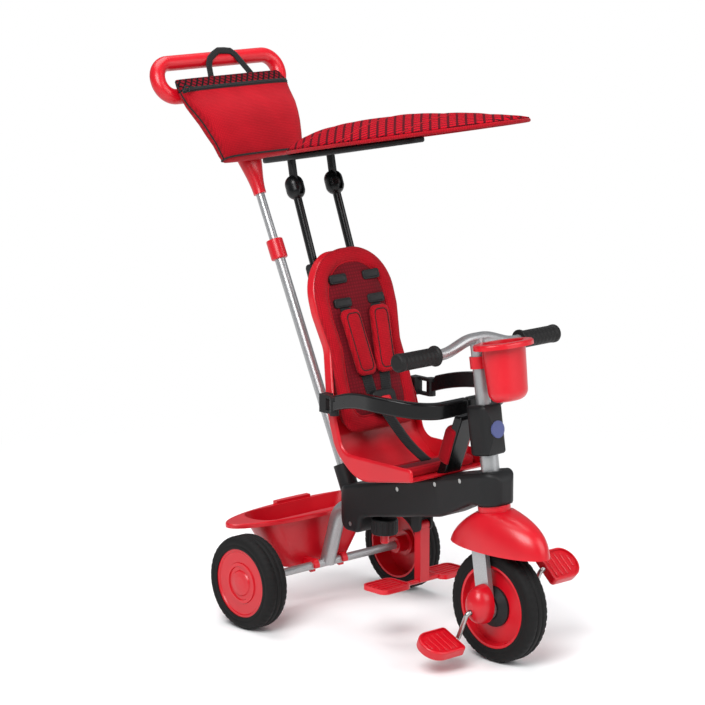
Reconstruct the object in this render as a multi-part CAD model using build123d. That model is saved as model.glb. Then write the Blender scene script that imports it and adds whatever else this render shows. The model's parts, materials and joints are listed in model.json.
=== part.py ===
from build123d import *
import os
from math import cos, radians, sin, sqrt, tan

# Children's tricycle with a push handle, a guarded seat, a sunshade and a tipping rear tub.
# X runs forward, Y to the rider's left and Z up, in millimetres. Lengths along X are measured
# from the rear axle. The finished pieces are shifted along X so that the origin lies on the
# ground under the middle of the tricycle's length.

# Fits
RUNNING = 0.05
SEAT_GAP = 0.3

# Wheels and rear axle
MIDDLE_X = 115.0
WHEELBASE = 468.0
REAR_RADIUS = 90.0
REAR_WIDTH = 48.0
REAR_TRACK = 404.0
REAR_DISC_RADIUS = 66.0
TYRE_SHOULDER = 9.0
DISC_WALL = 4.0
DISC_INSET = 5.0
RAISED_RING_RADIUS = 36.0
RAISED_RING_HEIGHT = 2.5
CAP_RADIUS = 25.0
CAP_RISE = 4.0
AXLE_ROD_RADIUS = 5.0
AXLE_TUBE_RADIUS = 8.0
AXLE_END_PLAY = 0.4
HUB_RADIUS = 16.0
HUB_RECESS_RADIUS = 20.0
HUB_RECESS_DEPTH = 12.0
NUT_RADIUS = 9.0
NUT_THICKNESS = 5.0
FRONT_RADIUS = 105.0
FRONT_WIDTH = 47.0
FRONT_DISC_RADIUS = 78.0
FRONT_HUB_RADIUS = 38.0

# Frame tube and head
POST_LEAN = 17.4
BEAM_RISE = 15.6
FRAME_TUBE_RADIUS = 15.0
FRAME_TUBE_WALL = 1.8
FRAME_BEND_RADIUS = 45.0
HEAD_BEHIND_HUB = 16.0
HEAD_X = WHEELBASE - HEAD_BEHIND_HUB
HEAD_Z = 290.0
HEAD_LEAN = 9.0
HEAD_TUBE_RADIUS = 22.0
HEAD_TUBE_WALL = 3.0
HEAD_LOW = 4.0
HEAD_HIGH = 60.0
HEAD_JOIN = 30.0
BUSH_LENGTH = 14.0
BUSH_FLANGE_RADIUS = 24.0
BUSH_FLANGE = 3.0
STEER_TUBE_RADIUS = 17.0
STEER_TUBE_WALL = 1.8

# Moulded body covers
BODY_HALF_WIDTH = 36.5
BODY_REAR_X = 60.0
BODY_REAR_TOP_Z = 259.0
BODY_TOP_RISE = 13.8
BODY_NOSE_X = HEAD_X + 32.0
BODY_THROAT_X = HEAD_X - 27.0
BODY_THROAT_Z = 291.0
BODY_BELLY_X = HEAD_X - 107.0
BODY_BELLY_Z = 252.0
BODY_STEP_X = 134.0
BODY_STEP_Z = 211.0
BODY_BLOCK_X = 126.0
BODY_LOW_Z = 177.0
BODY_HEEL_X = 84.0
BODY_HEEL_Z = 206.0
NOSE_FLAT = 2.0
BODY_WALL = 4.0
BODY_EDGE_ROUND = 9.0
BODY_RIB_XS = (140.0, 233.0, HEAD_X - 119.0, HEAD_X - 54.0)
BODY_RIB_THICKNESS = 7.0
SCREW_HEAD_RADIUS = 4.5
SCREW_HEAD_HEIGHT = 3.0
SCREW_SHANK_RADIUS = 2.0
SCREW_REACH = 12.0
SCREW_ABOVE_TUBE = 25.0

# Lock knob and release button
KNOB_X = 162.0
KNOB_RADIUS = 26.0
KNOB_RIB_RADIUS = 2.2
KNOB_RIB_COUNT = 20
KNOB_LOW_Z = 179.0
KNOB_HIGH_Z = 209.5
KNOB_STEM_RADIUS = 8.0
KNOB_STEM_LENGTH = 12.0
BUTTON_RADIUS = 8.5
BUTTON_DROP = 19.0
BUTTON_DEPTH = 16.0
BUTTON_TRAVEL = 5.0

# Footrest
FOOTREST_PIVOT_X = 264.0
FOOTREST_PIVOT_Z = 216.0
FOOTREST_PIN_RADIUS = 4.0
FOOTREST_EAR_GAP = 24.0
FOOTREST_EAR_THICKNESS = 6.0
FOOTREST_EAR_RADIUS = 11.0
FOOTREST_PAD_Z = 104.0
FOOTREST_PAD_THICKNESS = 9.0
FOOTREST_PAD_LENGTH = 64.0
FOOTREST_PAD_WIDTH = 74.0
FOOTREST_PAD_INNER_Y = 40.0
FOOTREST_PAD_BACK = 14.0
FOOTREST_ROD_RADIUS = 4.5
FOOTREST_RIM = 4.0

# Rear tub
TUB_HINGE_SPACING = 74.0
TUB_CLIP_WIDTH = 12.0
TUB_CLIP_WALL = 5.0
TUB_FLOOR_Z = 88.0
TUB_RIM_Z = 194.0
TUB_FLOOR_FRONT_X = -22.0
TUB_FLOOR_REAR_X = -84.0
TUB_FLOOR_HALF_WIDTH = 84.0
TUB_TOP_FRONT_X = -8.0
TUB_TOP_REAR_X = -98.0
TUB_TOP_HALF_WIDTH = 154.0
TUB_RIM_HALF_LENGTH = 57.0
TUB_RIM_HALF_WIDTH = 208.0
TUB_RIM_SKIRT = 9.0
TUB_WALL = 3.0
TUB_FLOOR_CORNER = 24.0
TUB_TOP_CORNER = 42.0
TUB_GRIP_HALF_WIDTH = 44.0
TUB_GRIP_HEIGHT = 6.0
TUB_GRIP_DEPTH = 12.0

# Seat shell, measured on its side outline
SEAT_FRONT_X = HEAD_X - 102.0
SEAT_BED_DEPTH = 0.23083
SEAT_FRONT_Z = (
    BODY_REAR_TOP_Z + (SEAT_FRONT_X - BODY_REAR_X) * tan(radians(BODY_TOP_RISE)) - SEAT_BED_DEPTH
)
SEAT_REAR_X = 200.0
SEAT_REAR_Z = 304.0
BACK_LOW_X = 140.0
BACK_LOW_Z = 352.0
BACK_TOP_X = 25.0
BACK_TOP_Z = 706.0
SEAT_WALL = 4.0
SEAT_HEEL_RADIUS = 74.0
SEAT_EDGE_ROUND = 6.0
SEAT_SIDE_HEIGHT = 46.0
SEAT_LIP_HEIGHT = 24.0
BACK_SIDE_DEPTH = 22.0
SEAT_HALF_WIDTH = 109.0
BACK_HALF_WIDTH = 97.0
WAIST_HALF_WIDTH = 86.0
WAIST_LOW_Z = 430.0
WAIST_Z = 536.0
WAIST_HIGH_Z = 600.0
BACK_CORNER_RADIUS = 89.0
SEAT_SADDLE_HALF_WIDTH = 30.0
SEAT_SADDLE_FRONT_X = SEAT_FRONT_X - 25.0
SEAT_SADDLE_REAR_X = SEAT_REAR_X + 42.0
SEAT_SADDLE_DEPTH = 32.0

# Pads and harness
BACK_PAD_THICKNESS = 32.0
PAD_SIDE_GAP = 3.0
SEAT_PAD_THICKNESS = 20.0
SEAT_PAD_FRONT_GAP = 10.0
SEAT_PAD_REAR = 38.0
BACK_PAD_LOW = 26.0
BACK_ROLL_LOW = 116.0
BACK_ROLL_OVER = 1.5
BACK_ROLL_PROUD = 2.0
STRAP_WIDTH = 25.0
STRAP_THICKNESS = 2.2
STRAP_TOP_Y = 40.0
STRAP_LOW_Y = 17.0
STRAP_SLOT_UP = 268.0
STRAP_END_UP = 74.0
SHOULDER_PAD_LENGTH = 128.0
SHOULDER_PAD_WIDTH = 46.0
SHOULDER_PAD_THICKNESS = 13.0
SHOULDER_PAD_DOWN = 12.0
BUCKLE_WIDTH = 58.0
BUCKLE_HEIGHT = 46.0
BUCKLE_THICKNESS = 13.0

# Guard arms and post
GUARD_PIVOT_X = 158.0
GUARD_PIVOT_Y = SEAT_HALF_WIDTH + 16.0
GUARD_FRONT_X = HEAD_X - 74.0
GUARD_SIDE_X = GUARD_FRONT_X - 78.0
GUARD_SIDE_Y = GUARD_PIVOT_Y + 25.0
GUARD_CORNER_Y = GUARD_SIDE_Y - 40.0
GUARD_BEND_RADIUS = 84.0
GUARD_THICKNESS = 14.0
GUARD_HEIGHT = 30.0
GUARD_PIVOT_Z = 445.0
GUARD_MID_X = GUARD_FRONT_X - 88.0
GUARD_MID_Z = 474.0
GUARD_FRONT_Z = 463.0
GUARD_EDGE_ROUND = 4.0
GUARD_SPLIT = 0.8
GUARD_PIN_RADIUS = 4.0
GUARD_LUG_THICKNESS = 6.0
GUARD_EYE_RADIUS = 9.0
POST_HALF_WIDTH = 21.0
POST_DEPTH = 20.0
POST_TOP_GAP = 0.6
POST_PAD_THICKNESS = 12.0
POST_FOOT_INSET = 24.0

# Sunshade
SHADE_PIVOT_X = -34.0
SHADE_PIVOT_Z = 826.0
SHADE_PIVOT_Y = 50.0
POLE_RADIUS = 8.0
POLE_LEAN = 20.8
POLE_FOOT_Z = 642.0
KNUCKLE_HALF_WIDTH = 18.0
KNUCKLE_HALF_HEIGHT = 24.0
KNUCKLE_SLOT = 9.0
TONGUE_SIDE_GAP = 0.4
TONGUE_RADIUS = 15.0
KNUCKLE_PIN_RADIUS = 3.0
ARM_WIDTH = 15.0
SHADE_RISE = 11.0
SHADE_REAR_X = -58.0
SHADE_REAR_Z = 892.0
SHADE_LENGTH = 558.0
SHADE_HALF_WIDTH = 164.0
SHADE_CROWN = 37.0
SHADE_CLOTH = 3.0
PLATE_THICKNESS = 11.0
HOOP_RADIUS = 3.0
PLATE_REAR = 84.0
PLATE_SHOULDER_REAR = 42.0
PLATE_SHOULDER_FRONT = 48.0
PLATE_HALF_WIDTH = 78.0
PLATE_TIP = 313.0
PLATE_EDGE_ROUND = 4.0
PLATE_TIP_HALF_WIDTH = 20.0
BRACKET_HALF_WIDTH = 64.0
BRACKET_LOW_Z = 632.0
BRACKET_HIGH_Z = 686.0
BRACKET_WALL = 6.0
BRACKET_EDGE_ROUND = 4.0

# Push handle, measured up its leaning axis
HANDLE_X = 61.0
HANDLE_Z = 257.0
HANDLE_LEAN = 25.4
SOCKET_RADIUS = 18.0
SOCKET_LOW = -14.0
SOCKET_FLOOR = 4.0
SOCKET_HIGH = 40.0
LOWER_TUBE_RADIUS = 10.5
UPPER_TUBE_RADIUS = 8.5
TUBE_WALL = 1.5
COLLAR_LOW = 457.0
COLLAR_HIGH = 497.0
COLLAR_RADIUS = 16.5
UPPER_TUBE_LOW = 330.0
NECK_LOW = 591.0
NECK_RADIUS = 12.5
NECK_FLARE_HALF_WIDTH = 26.0
NECK_SOCKET = 60.0
LOOP_SETBACK = 14.0
LOOP_LOW = 808.0
LOOP_HIGH = 876.0
LOOP_HALF_SPAN = 153.0
LOOP_RADIUS = 15.0

# Bag, in the handle's own frame: up the axis, forward of it, half width
BAG_TOP = 834.0
BAG_SHOULDER = 806.0
BAG_LOW = 654.0
BAG_HALF_WIDTH = 134.0
BAG_LOW_HALF_WIDTH = 95.0
BAG_TOP_FRONT = 13.0
BAG_FRONT = 36.0
BAG_LOW_FRONT = 54.0
BAG_STRAP_WIDTH = 14.0
BAG_STRAP_THICKNESS = 2.2
BAG_STRAP_TOP = 888.0
BAG_STRAP_RIGHT_Y = -36.0
BAG_STRAP_LEFT_Y = 72.0
ZIP_UP = 806.0
ZIP_WIDTH = 8.0
PULLER_RADIUS = 6.0
PULLER_WIRE = 1.5
PULLER_Y = -126.0

# Fork, fender and column, measured along the steering axis
FORK_LEG_WIDTH = 34.0
FORK_LEG_THICKNESS = 11.0
FORK_TYRE_GAP = 5.0
FORK_END_RADIUS = 21.0
FORK_CROWN_HIGH = -43.0
FORK_CROWN_LOW = -60.0
FENDER_TOP = 0.6
FENDER_COLLAR_RADIUS = 30.0
FENDER_BASE_RADIUS = 34.0
FENDER_HALF_LENGTH = 119.0
FENDER_HALF_WIDTH = 51.0
FENDER_WALL = 3.0
FENDER_DEPTH = 104.0
FENDER_BRIM_Z = 212.0
STEER_TUBE_TOP = 150.0
CLAMP_LOW = 93.0
CLAMP_HIGH = 186.0
CLAMP_LENGTH = 60.0
CLAMP_WIDTH = 52.0
CLAMP_CORNER = 20.0
CLAMP_FRONT_CURVE = 130.0
BADGE_RADIUS = 16.0
BADGE_THICKNESS = 3.0
BADGE_PROUD = 1.2
BADGE_UP = 140.0
UPPER_COLUMN_RADIUS = 13.5
BAR_CENTRE_UP = 307.0
BAR_DROP = 18.0
BAR_RADIUS = 10.5
BAR_FLAT_HALF = 24.0
BAR_SHOULDER_HALF = 80.0
BAR_HALF_LENGTH = 200.0
BAR_BEND_RADIUS = 100.0
GRIP_INNER_Y = 106.0
GRIP_RADIUS = 16.0
GRIP_FLANGE_RADIUS = 19.0
GRIP_FLANGE = 5.0
GRIP_END_RADIUS = 17.0
GRIP_END_WALL = 5.0
CUP_FORWARD = 66.0
CUP_TOP_UP = 300.0
CUP_HEIGHT = 108.0
CUP_HALF_LENGTH = 34.0
CUP_HALF_WIDTH = 46.0
CUP_RIM_HALF_LENGTH = 46.0
CUP_RIM_HALF_WIDTH = 63.0
CUP_RIM_HEIGHT = 10.0
CUP_TAPER = 5.0
CUP_HEEL_RADIUS = 20.0
CUP_WALL = 2.6
CUP_COLLAR_DOWN = 26.0
CUP_COLLAR_HEIGHT = 22.0
CUP_COLLAR_WALL = 4.0
CUP_WEB_HALF_WIDTH = 8.0
HUB_COVER_DEPTH = 36.0
HUB_COVER_HALF_LENGTH = 27.0
HUB_COVER_HALF_HEIGHT = 37.0
HUB_COVER_LIFT = 10.0

# Cranks and pedals
CRANK_RADIUS = 4.5
CRANK_LENGTH = 60.0
CRANK_ANGLE = 24.0
CRANK_PLANE_Y = 83.0
CRANK_BEND = 7.5
PEDAL_INNER_Y = 91.0
PEDAL_LENGTH = 82.0
PEDAL_WIDTH = 66.0
PEDAL_THICKNESS = 19.0
PEDAL_RIM = 5.0
PEDAL_RECESS = 5.0
PEDAL_END_WALL = 6.0
PEDAL_EDGE_ROUND = 4.0
PEDAL_RIGHT_TILT = 24.0
PEDAL_LEFT_TILT = 42.0


def along_y(radius, y_from, y_to, x=0.0, z=0.0):
    """A round bar across the tricycle."""
    middle = (y_from + y_to) / 2
    return Pos(x, middle, z) * Rot(90, 0, 0) * Cylinder(radius, abs(y_to - y_from))


def upright(radius, z_from, z_to, x=0.0, y=0.0):
    """A round bar along the local Z axis."""
    return Pos(x, y, (z_from + z_to) / 2) * Cylinder(radius, z_to - z_from)


def block(x_from, x_to, y_from, y_to, z_from, z_to):
    """A box between two corners."""
    centre = Pos((x_from + x_to) / 2, (y_from + y_to) / 2, (z_from + z_to) / 2)
    return centre * Box(x_to - x_from, y_to - y_from, z_to - z_from)


def side_slab(points, radii, half_width):
    """A side outline in X and Z with rounded corners, as thick as the given half width each way."""
    outline = FilletPolyline(*points, radius=radii, close=True)
    return extrude(Plane.XZ * make_face(outline), half_width, both=True)


def turned(points, about=Axis.Y):
    """A closed outline of radius and place along Y, spun about the Y axis."""
    return revolve(make_face(Polyline(*points, close=True)), about)


def swept(path, radius):
    """A round bar along a path."""
    start = Plane(origin=path @ 0, z_dir=path % 0)
    return sweep(start * Circle(radius), path=path)


def ellipse_loft(sections):
    """A smooth body through ellipses given as height, half length and half width."""
    return loft([Plane.XY.offset(height) * Ellipse(length, width) for height, length, width in sections])


def single(shape):
    """The one solid of a shape."""
    return shape.solid() if hasattr(shape, "solid") else shape


def group(*shapes):
    """Several separate solids of one piece kind."""
    return Compound(children=[single(shape) for shape in shapes])


def both_sides(shape):
    """The shape and its mirror image across the middle plane."""
    return group(shape, mirror(shape, Plane.XZ))


# Leaning frames: local X forward, local Y left, local Z up the axis
HEAD = Location((HEAD_X, 0, HEAD_Z), (0, -HEAD_LEAN, 0))
HANDLE = Location((HANDLE_X, 0, HANDLE_Z), (0, -HANDLE_LEAN, 0))
SHADE = Location((SHADE_REAR_X, 0, SHADE_REAR_Z), (0, -SHADE_RISE, 0))

wheel_y = REAR_TRACK / 2
front_hub = HEAD.inverse() * Location((WHEELBASE, 0, FRONT_RADIUS))
hub_forward = front_hub.position.X
hub_up = front_hub.position.Z

# Main frame
post = radians(POST_LEAN)
beam_slope = tan(radians(BEAM_RISE))
join = (HEAD * Location((0, 0, HEAD_JOIN))).position
knee_reach = (join.Z - REAR_RADIUS - beam_slope * join.X) / (cos(post) - beam_slope * sin(post))
knee_x = knee_reach * sin(post)
knee_z = REAR_RADIUS + knee_reach * cos(post)
frame_path = FilletPolyline(
    (0, 0, REAR_RADIUS), (knee_x, 0, knee_z), (join.X, 0, join.Z), radius=FRAME_BEND_RADIUS
)
head_bore = HEAD_TUBE_RADIUS - HEAD_TUBE_WALL


def tube_z(x):
    """Height of the frame tube's middle above the ground."""
    return knee_z + beam_slope * (x - knee_x)


frame_tube = swept(frame_path, FRAME_TUBE_RADIUS) - swept(frame_path, FRAME_TUBE_RADIUS - FRAME_TUBE_WALL)
main_frame = frame_tube + HEAD * upright(HEAD_TUBE_RADIUS, HEAD_LOW, HEAD_HIGH)
main_frame -= HEAD * upright(head_bore, HEAD_LOW - 1, HEAD_HIGH + 1)
main_frame -= along_y(AXLE_TUBE_RADIUS, -40, 40, 0, REAR_RADIUS)

low_bush = upright(BUSH_FLANGE_RADIUS, HEAD_LOW - BUSH_FLANGE, HEAD_LOW)
low_bush += upright(head_bore - RUNNING, HEAD_LOW, HEAD_LOW + BUSH_LENGTH)
high_bush = upright(BUSH_FLANGE_RADIUS, HEAD_HIGH, HEAD_HIGH + BUSH_FLANGE)
high_bush += upright(head_bore - RUNNING, HEAD_HIGH - BUSH_LENGTH, HEAD_HIGH)
bush_bore = upright(STEER_TUBE_RADIUS + RUNNING, HEAD_LOW - 10, HEAD_HIGH + 10)
head_bushes = group(HEAD * (low_bush - bush_bore), HEAD * (high_bush - bush_bore))

# Rear axle and wheels
hub_inner = -REAR_WIDTH / 2 + 2
hub_outer = REAR_WIDTH / 2 - DISC_INSET - HUB_RECESS_DEPTH
face_y = REAR_WIDTH / 2 - DISC_INSET
axle_tube_half = wheel_y + hub_inner - AXLE_END_PLAY
nut_from = wheel_y + hub_outer + SEAT_GAP
rod_half = nut_from + NUT_THICKNESS + 1.5

axle_tube = along_y(AXLE_TUBE_RADIUS, -axle_tube_half, axle_tube_half, 0, REAR_RADIUS)
axle_tube -= along_y(AXLE_ROD_RADIUS + RUNNING, -axle_tube_half, axle_tube_half, 0, REAR_RADIUS)
axle_rod = along_y(AXLE_ROD_RADIUS, -rod_half, rod_half, 0, REAR_RADIUS)
nut = along_y(NUT_RADIUS, nut_from, nut_from + NUT_THICKNESS, 0, REAR_RADIUS)
nut -= along_y(AXLE_ROD_RADIUS, nut_from, nut_from + NUT_THICKNESS, 0, REAR_RADIUS)
axle_nuts = both_sides(nut)


def tyre(radius, inner, width):
    """A solid tyre with round shoulders, spun about Y."""
    outline = FilletPolyline(
        (inner, -width / 2), (radius, -width / 2), (radius, width / 2), (inner, width / 2),
        radius=[0, TYRE_SHOULDER, TYRE_SHOULDER, 0], close=True,
    )
    return revolve(make_face(outline), Axis.Y)


rear_tyre = tyre(REAR_RADIUS, REAR_DISC_RADIUS, REAR_WIDTH)
drum = REAR_DISC_RADIUS - RUNNING
ring_low = RAISED_RING_RADIUS - 3
ring_high = RAISED_RING_RADIUS + 3
rear_disc = turned([
    (AXLE_ROD_RADIUS + RUNNING, hub_inner),
    (AXLE_ROD_RADIUS + RUNNING, hub_outer),
    (HUB_RECESS_RADIUS, hub_outer),
    (HUB_RECESS_RADIUS, face_y),
    (ring_low - 1, face_y),
    (ring_low, face_y + RAISED_RING_HEIGHT),
    (ring_high, face_y + RAISED_RING_HEIGHT),
    (ring_high + 1, face_y),
    (drum - 6, face_y),
    (drum - 4, face_y + 2),
    (drum, face_y + 2),
    (drum, 2 - REAR_WIDTH / 2),
    (drum - DISC_WALL, 2 - REAR_WIDTH / 2),
    (drum - DISC_WALL, face_y - DISC_WALL),
    (HUB_RECESS_RADIUS + DISC_WALL, face_y - DISC_WALL),
    (HUB_RECESS_RADIUS + DISC_WALL, hub_outer - DISC_WALL),
    (HUB_RADIUS, hub_outer - DISC_WALL),
    (HUB_RADIUS, hub_inner),
])
plug = HUB_RECESS_RADIUS - RUNNING
rear_cap = turned([
    (0, face_y + 1),
    (plug - 5, face_y + 1),
    (plug - 5, face_y - 5),
    (plug, face_y - 5),
    (plug, face_y),
    (CAP_RADIUS, face_y),
    (CAP_RADIUS - 2, face_y + 2.5),
    (CAP_RADIUS / 2, face_y + CAP_RISE),
    (0, face_y + CAP_RISE + 0.5),
])
at_left_wheel = Pos(0, wheel_y, REAR_RADIUS)
rear_tyre_left = at_left_wheel * rear_tyre
rear_disc_left = at_left_wheel * rear_disc
rear_cap_left = at_left_wheel * rear_cap
rear_tyre_right = mirror(rear_tyre_left, Plane.XZ)
rear_disc_right = mirror(rear_disc_left, Plane.XZ)
rear_cap_right = mirror(rear_cap_left, Plane.XZ)

# Push handle socket and tubes
socket = HANDLE * upright(SOCKET_RADIUS, SOCKET_LOW, SOCKET_HIGH)
socket_floor = SOCKET_LOW + SOCKET_FLOOR
handle_socket = socket - HANDLE * upright(LOWER_TUBE_RADIUS + RUNNING, socket_floor, SOCKET_HIGH + 1)
lower_tube_low = socket_floor + SEAT_GAP
handle_lower_tube = HANDLE * (
    upright(LOWER_TUBE_RADIUS, lower_tube_low, COLLAR_HIGH - 8)
    - upright(UPPER_TUBE_RADIUS + RUNNING, lower_tube_low - 1, COLLAR_HIGH)
)
collar = upright(COLLAR_RADIUS, COLLAR_LOW, COLLAR_HIGH)
collar = fillet(collar.edges().filter_by(GeomType.CIRCLE), 3)
collar -= upright(LOWER_TUBE_RADIUS, COLLAR_LOW - 1, COLLAR_HIGH - 8)
collar -= upright(UPPER_TUBE_RADIUS + RUNNING, COLLAR_LOW, COLLAR_HIGH + 1)
handle_collar = HANDLE * collar
upper_tube_high = NECK_LOW + NECK_SOCKET
handle_upper_tube = HANDLE * (
    upright(UPPER_TUBE_RADIUS, UPPER_TUBE_LOW, upper_tube_high)
    - upright(UPPER_TUBE_RADIUS - TUBE_WALL, UPPER_TUBE_LOW - 1, upper_tube_high + 1)
)

# Push handle loop with its neck
loop_path = FilletPolyline(
    (-LOOP_SETBACK, -LOOP_HALF_SPAN, LOOP_LOW),
    (-LOOP_SETBACK, LOOP_HALF_SPAN, LOOP_LOW),
    (-LOOP_SETBACK, LOOP_HALF_SPAN, LOOP_HIGH),
    (-LOOP_SETBACK, -LOOP_HALF_SPAN, LOOP_HIGH),
    radius=(LOOP_HIGH - LOOP_LOW) / 2 - 1, close=True,
)
neck_span = LOOP_LOW - NECK_LOW
neck = loft([
    Plane.XY.offset(NECK_LOW) * Ellipse(NECK_RADIUS, NECK_RADIUS + 0.1),
    Plane.XY.offset(NECK_LOW + 0.1 * neck_span) * Ellipse(NECK_RADIUS + 1, NECK_RADIUS + 2),
    Plane.XY.offset(NECK_LOW + 0.3 * neck_span) * Ellipse(NECK_RADIUS + 4, NECK_FLARE_HALF_WIDTH),
    Plane.XY.offset(NECK_LOW + 0.62 * neck_span) * Pos(-LOOP_SETBACK / 2, 0)
    * Ellipse(NECK_RADIUS + 3, NECK_FLARE_HALF_WIDTH + 8),
    Plane.XY.offset(LOOP_LOW) * Pos(-LOOP_SETBACK, 0) * Ellipse(LOOP_RADIUS - 1, NECK_FLARE_HALF_WIDTH + 12),
])
loop_body = swept(loop_path, LOOP_RADIUS) + neck
handle_loop = HANDLE * (loop_body - upright(UPPER_TUBE_RADIUS, NECK_LOW - 1, upper_tube_high))

# Bag hung on the loop's lower bar
bag_places = (
    (BAG_TOP, BAG_HALF_WIDTH - 4, 1, BAG_TOP_FRONT),
    (BAG_SHOULDER, BAG_HALF_WIDTH, -4, BAG_FRONT - 9),
    (BAG_SHOULDER - 20, BAG_HALF_WIDTH - 3, 0, BAG_FRONT - 1),
    (BAG_SHOULDER - 0.5 * (BAG_SHOULDER - BAG_LOW), BAG_HALF_WIDTH - 18, 8, BAG_LOW_FRONT + 9),
    (BAG_LOW + 12, BAG_LOW_HALF_WIDTH + 5, 18, BAG_LOW_FRONT + 9),
    (BAG_LOW, BAG_LOW_HALF_WIDTH, 24, BAG_LOW_FRONT),
)
bag_sections = []
for up, half, back, front in bag_places:
    depth = front - back
    plan = Pos((back + front) / 2, 0) * RectangleRounded(depth, 2 * half, 0.45 * depth)
    bag_sections.append(Plane.XY.offset(up) * plan)


bag_cloth = loft(bag_sections)
strap_rise = BAG_STRAP_TOP - BAG_TOP
strap_path = FilletPolyline(
    (BAG_STRAP_RIGHT_Y, BAG_TOP - 8), (BAG_STRAP_RIGHT_Y + 6, BAG_TOP + 0.6 * strap_rise),
    (BAG_STRAP_RIGHT_Y + 34, BAG_STRAP_TOP), (BAG_STRAP_LEFT_Y - 38, BAG_STRAP_TOP - 4),
    (BAG_STRAP_LEFT_Y, BAG_TOP - 8), radius=14,
)
strap_from = LOOP_RADIUS - LOOP_SETBACK + SEAT_GAP
carry_loop = extrude(Plane.YZ.offset(strap_from) * trace(strap_path, BAG_STRAP_WIDTH), BAG_STRAP_THICKNESS)
bag_strap = HANDLE * single(carry_loop - bag_cloth)
zip_front = BAG_FRONT - 1
zip_bar = block(zip_front - 8, zip_front, -BAG_HALF_WIDTH + 5, BAG_HALF_WIDTH - 5,
                ZIP_UP - ZIP_WIDTH / 2, ZIP_UP + ZIP_WIDTH / 2)
handle_bag = HANDLE * (bag_cloth + zip_bar - loop_body)
slider = block(zip_front + SEAT_GAP, zip_front + SEAT_GAP + 4, PULLER_Y, PULLER_Y + 9, ZIP_UP - 4, ZIP_UP + 4)
ring_place = Pos(zip_front + SEAT_GAP + 2, PULLER_Y - PULLER_RADIUS, ZIP_UP)
ring = ring_place * Rot(0, 90, 0) * Torus(PULLER_RADIUS, PULLER_WIRE)
zip_puller = HANDLE * (slider + ring)

# Moulded body covers
top_slope = tan(radians(BODY_TOP_RISE))
nose_top_z = BODY_REAR_TOP_Z + top_slope * (BODY_NOSE_X - BODY_REAR_X)
body_points = [
    (BODY_REAR_X, BODY_HEEL_Z),
    (BODY_REAR_X, BODY_REAR_TOP_Z),
    (BODY_NOSE_X, nose_top_z),
    (BODY_NOSE_X, BODY_THROAT_Z),
    (BODY_THROAT_X, BODY_THROAT_Z),
    (BODY_BELLY_X, BODY_BELLY_Z),
    (BODY_STEP_X, BODY_STEP_Z),
    (BODY_BLOCK_X, BODY_LOW_Z),
    (BODY_HEEL_X, BODY_LOW_Z),
]
body_radii = [28, 32, 22, 14, 30, 60, 8, 14, 22]
body_length = BODY_NOSE_X - BODY_REAR_X
body_middle_x = (BODY_NOSE_X + BODY_REAR_X) / 2


body_plan = RectangleRounded(body_length + 2 * NOSE_FLAT, 2 * BODY_HALF_WIDTH, BODY_HALF_WIDTH - 0.1)
body_solid = side_slab(body_points, body_radii, BODY_HALF_WIDTH + 5)
body_outer = single(body_solid & Pos(body_middle_x, 0, 0) * extrude(body_plan, 2 * HEAD_Z))
body_outer = fillet(body_outer.edges(), BODY_EDGE_ROUND)
inner_face = offset(make_face(FilletPolyline(*body_points, radius=body_radii, close=True)), amount=-BODY_WALL)
body_inner = extrude(Plane.XZ * inner_face, BODY_HALF_WIDTH - BODY_WALL, both=True)
for rear_rib, front_rib in zip(BODY_RIB_XS[:-1], BODY_RIB_XS[1:]):
    bay = block(
        rear_rib + BODY_RIB_THICKNESS / 2, front_rib - BODY_RIB_THICKNESS / 2,
        -BODY_HALF_WIDTH, BODY_HALF_WIDTH, 0, 2 * HEAD_Z,
    )
    body_outer -= body_inner & bay
flange_hole = BUSH_FLANGE_RADIUS + SEAT_GAP
body_whole = body_outer - swept(frame_path, FRAME_TUBE_RADIUS + RUNNING)
body_whole -= HEAD * upright(HEAD_TUBE_RADIUS + RUNNING, -20, HEAD_HIGH + 60)
body_whole -= HEAD * upright(flange_hole, -20, HEAD_LOW)
body_whole -= HEAD * upright(flange_hole, HEAD_HIGH, HEAD_HIGH + 60)
body_whole -= HEAD * upright(FENDER_COLLAR_RADIUS + 8, -60, HEAD_LOW - BUSH_FLANGE + 0.4)
body_whole -= socket
body_whole -= upright(KNOB_STEM_RADIUS + RUNNING, BODY_LOW_Z, KNOB_HIGH_Z + KNOB_STEM_LENGTH + 1, KNOB_X)

screw_places = [(x, tube_z(x) + SCREW_ABOVE_TUBE) for x in BODY_RIB_XS[1:]]
screw_places.append((BODY_HEEL_X + 20, BODY_LOW_Z + 16))
head_from = -BODY_HALF_WIDTH + 1
screws = []
head_to = head_from + SCREW_HEAD_HEIGHT
for x, z in screw_places:
    body_whole -= along_y(SCREW_HEAD_RADIUS + RUNNING, -BODY_HALF_WIDTH - 1, head_to, x, z)
    body_whole -= along_y(SCREW_SHANK_RADIUS + RUNNING, head_from, SCREW_REACH, x, z)
    screw = along_y(SCREW_HEAD_RADIUS, head_from, head_to, x, z)
    screws.append(screw + along_y(SCREW_SHANK_RADIUS, head_from, SCREW_REACH, x, z))
body_screws = group(*screws)
left_room = block(0, 2 * WHEELBASE, 0, WHEELBASE, 0, 2 * HEAD_Z)
body_left = body_whole & left_room
body_right = body_whole & mirror(left_room, Plane.XZ)

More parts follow.
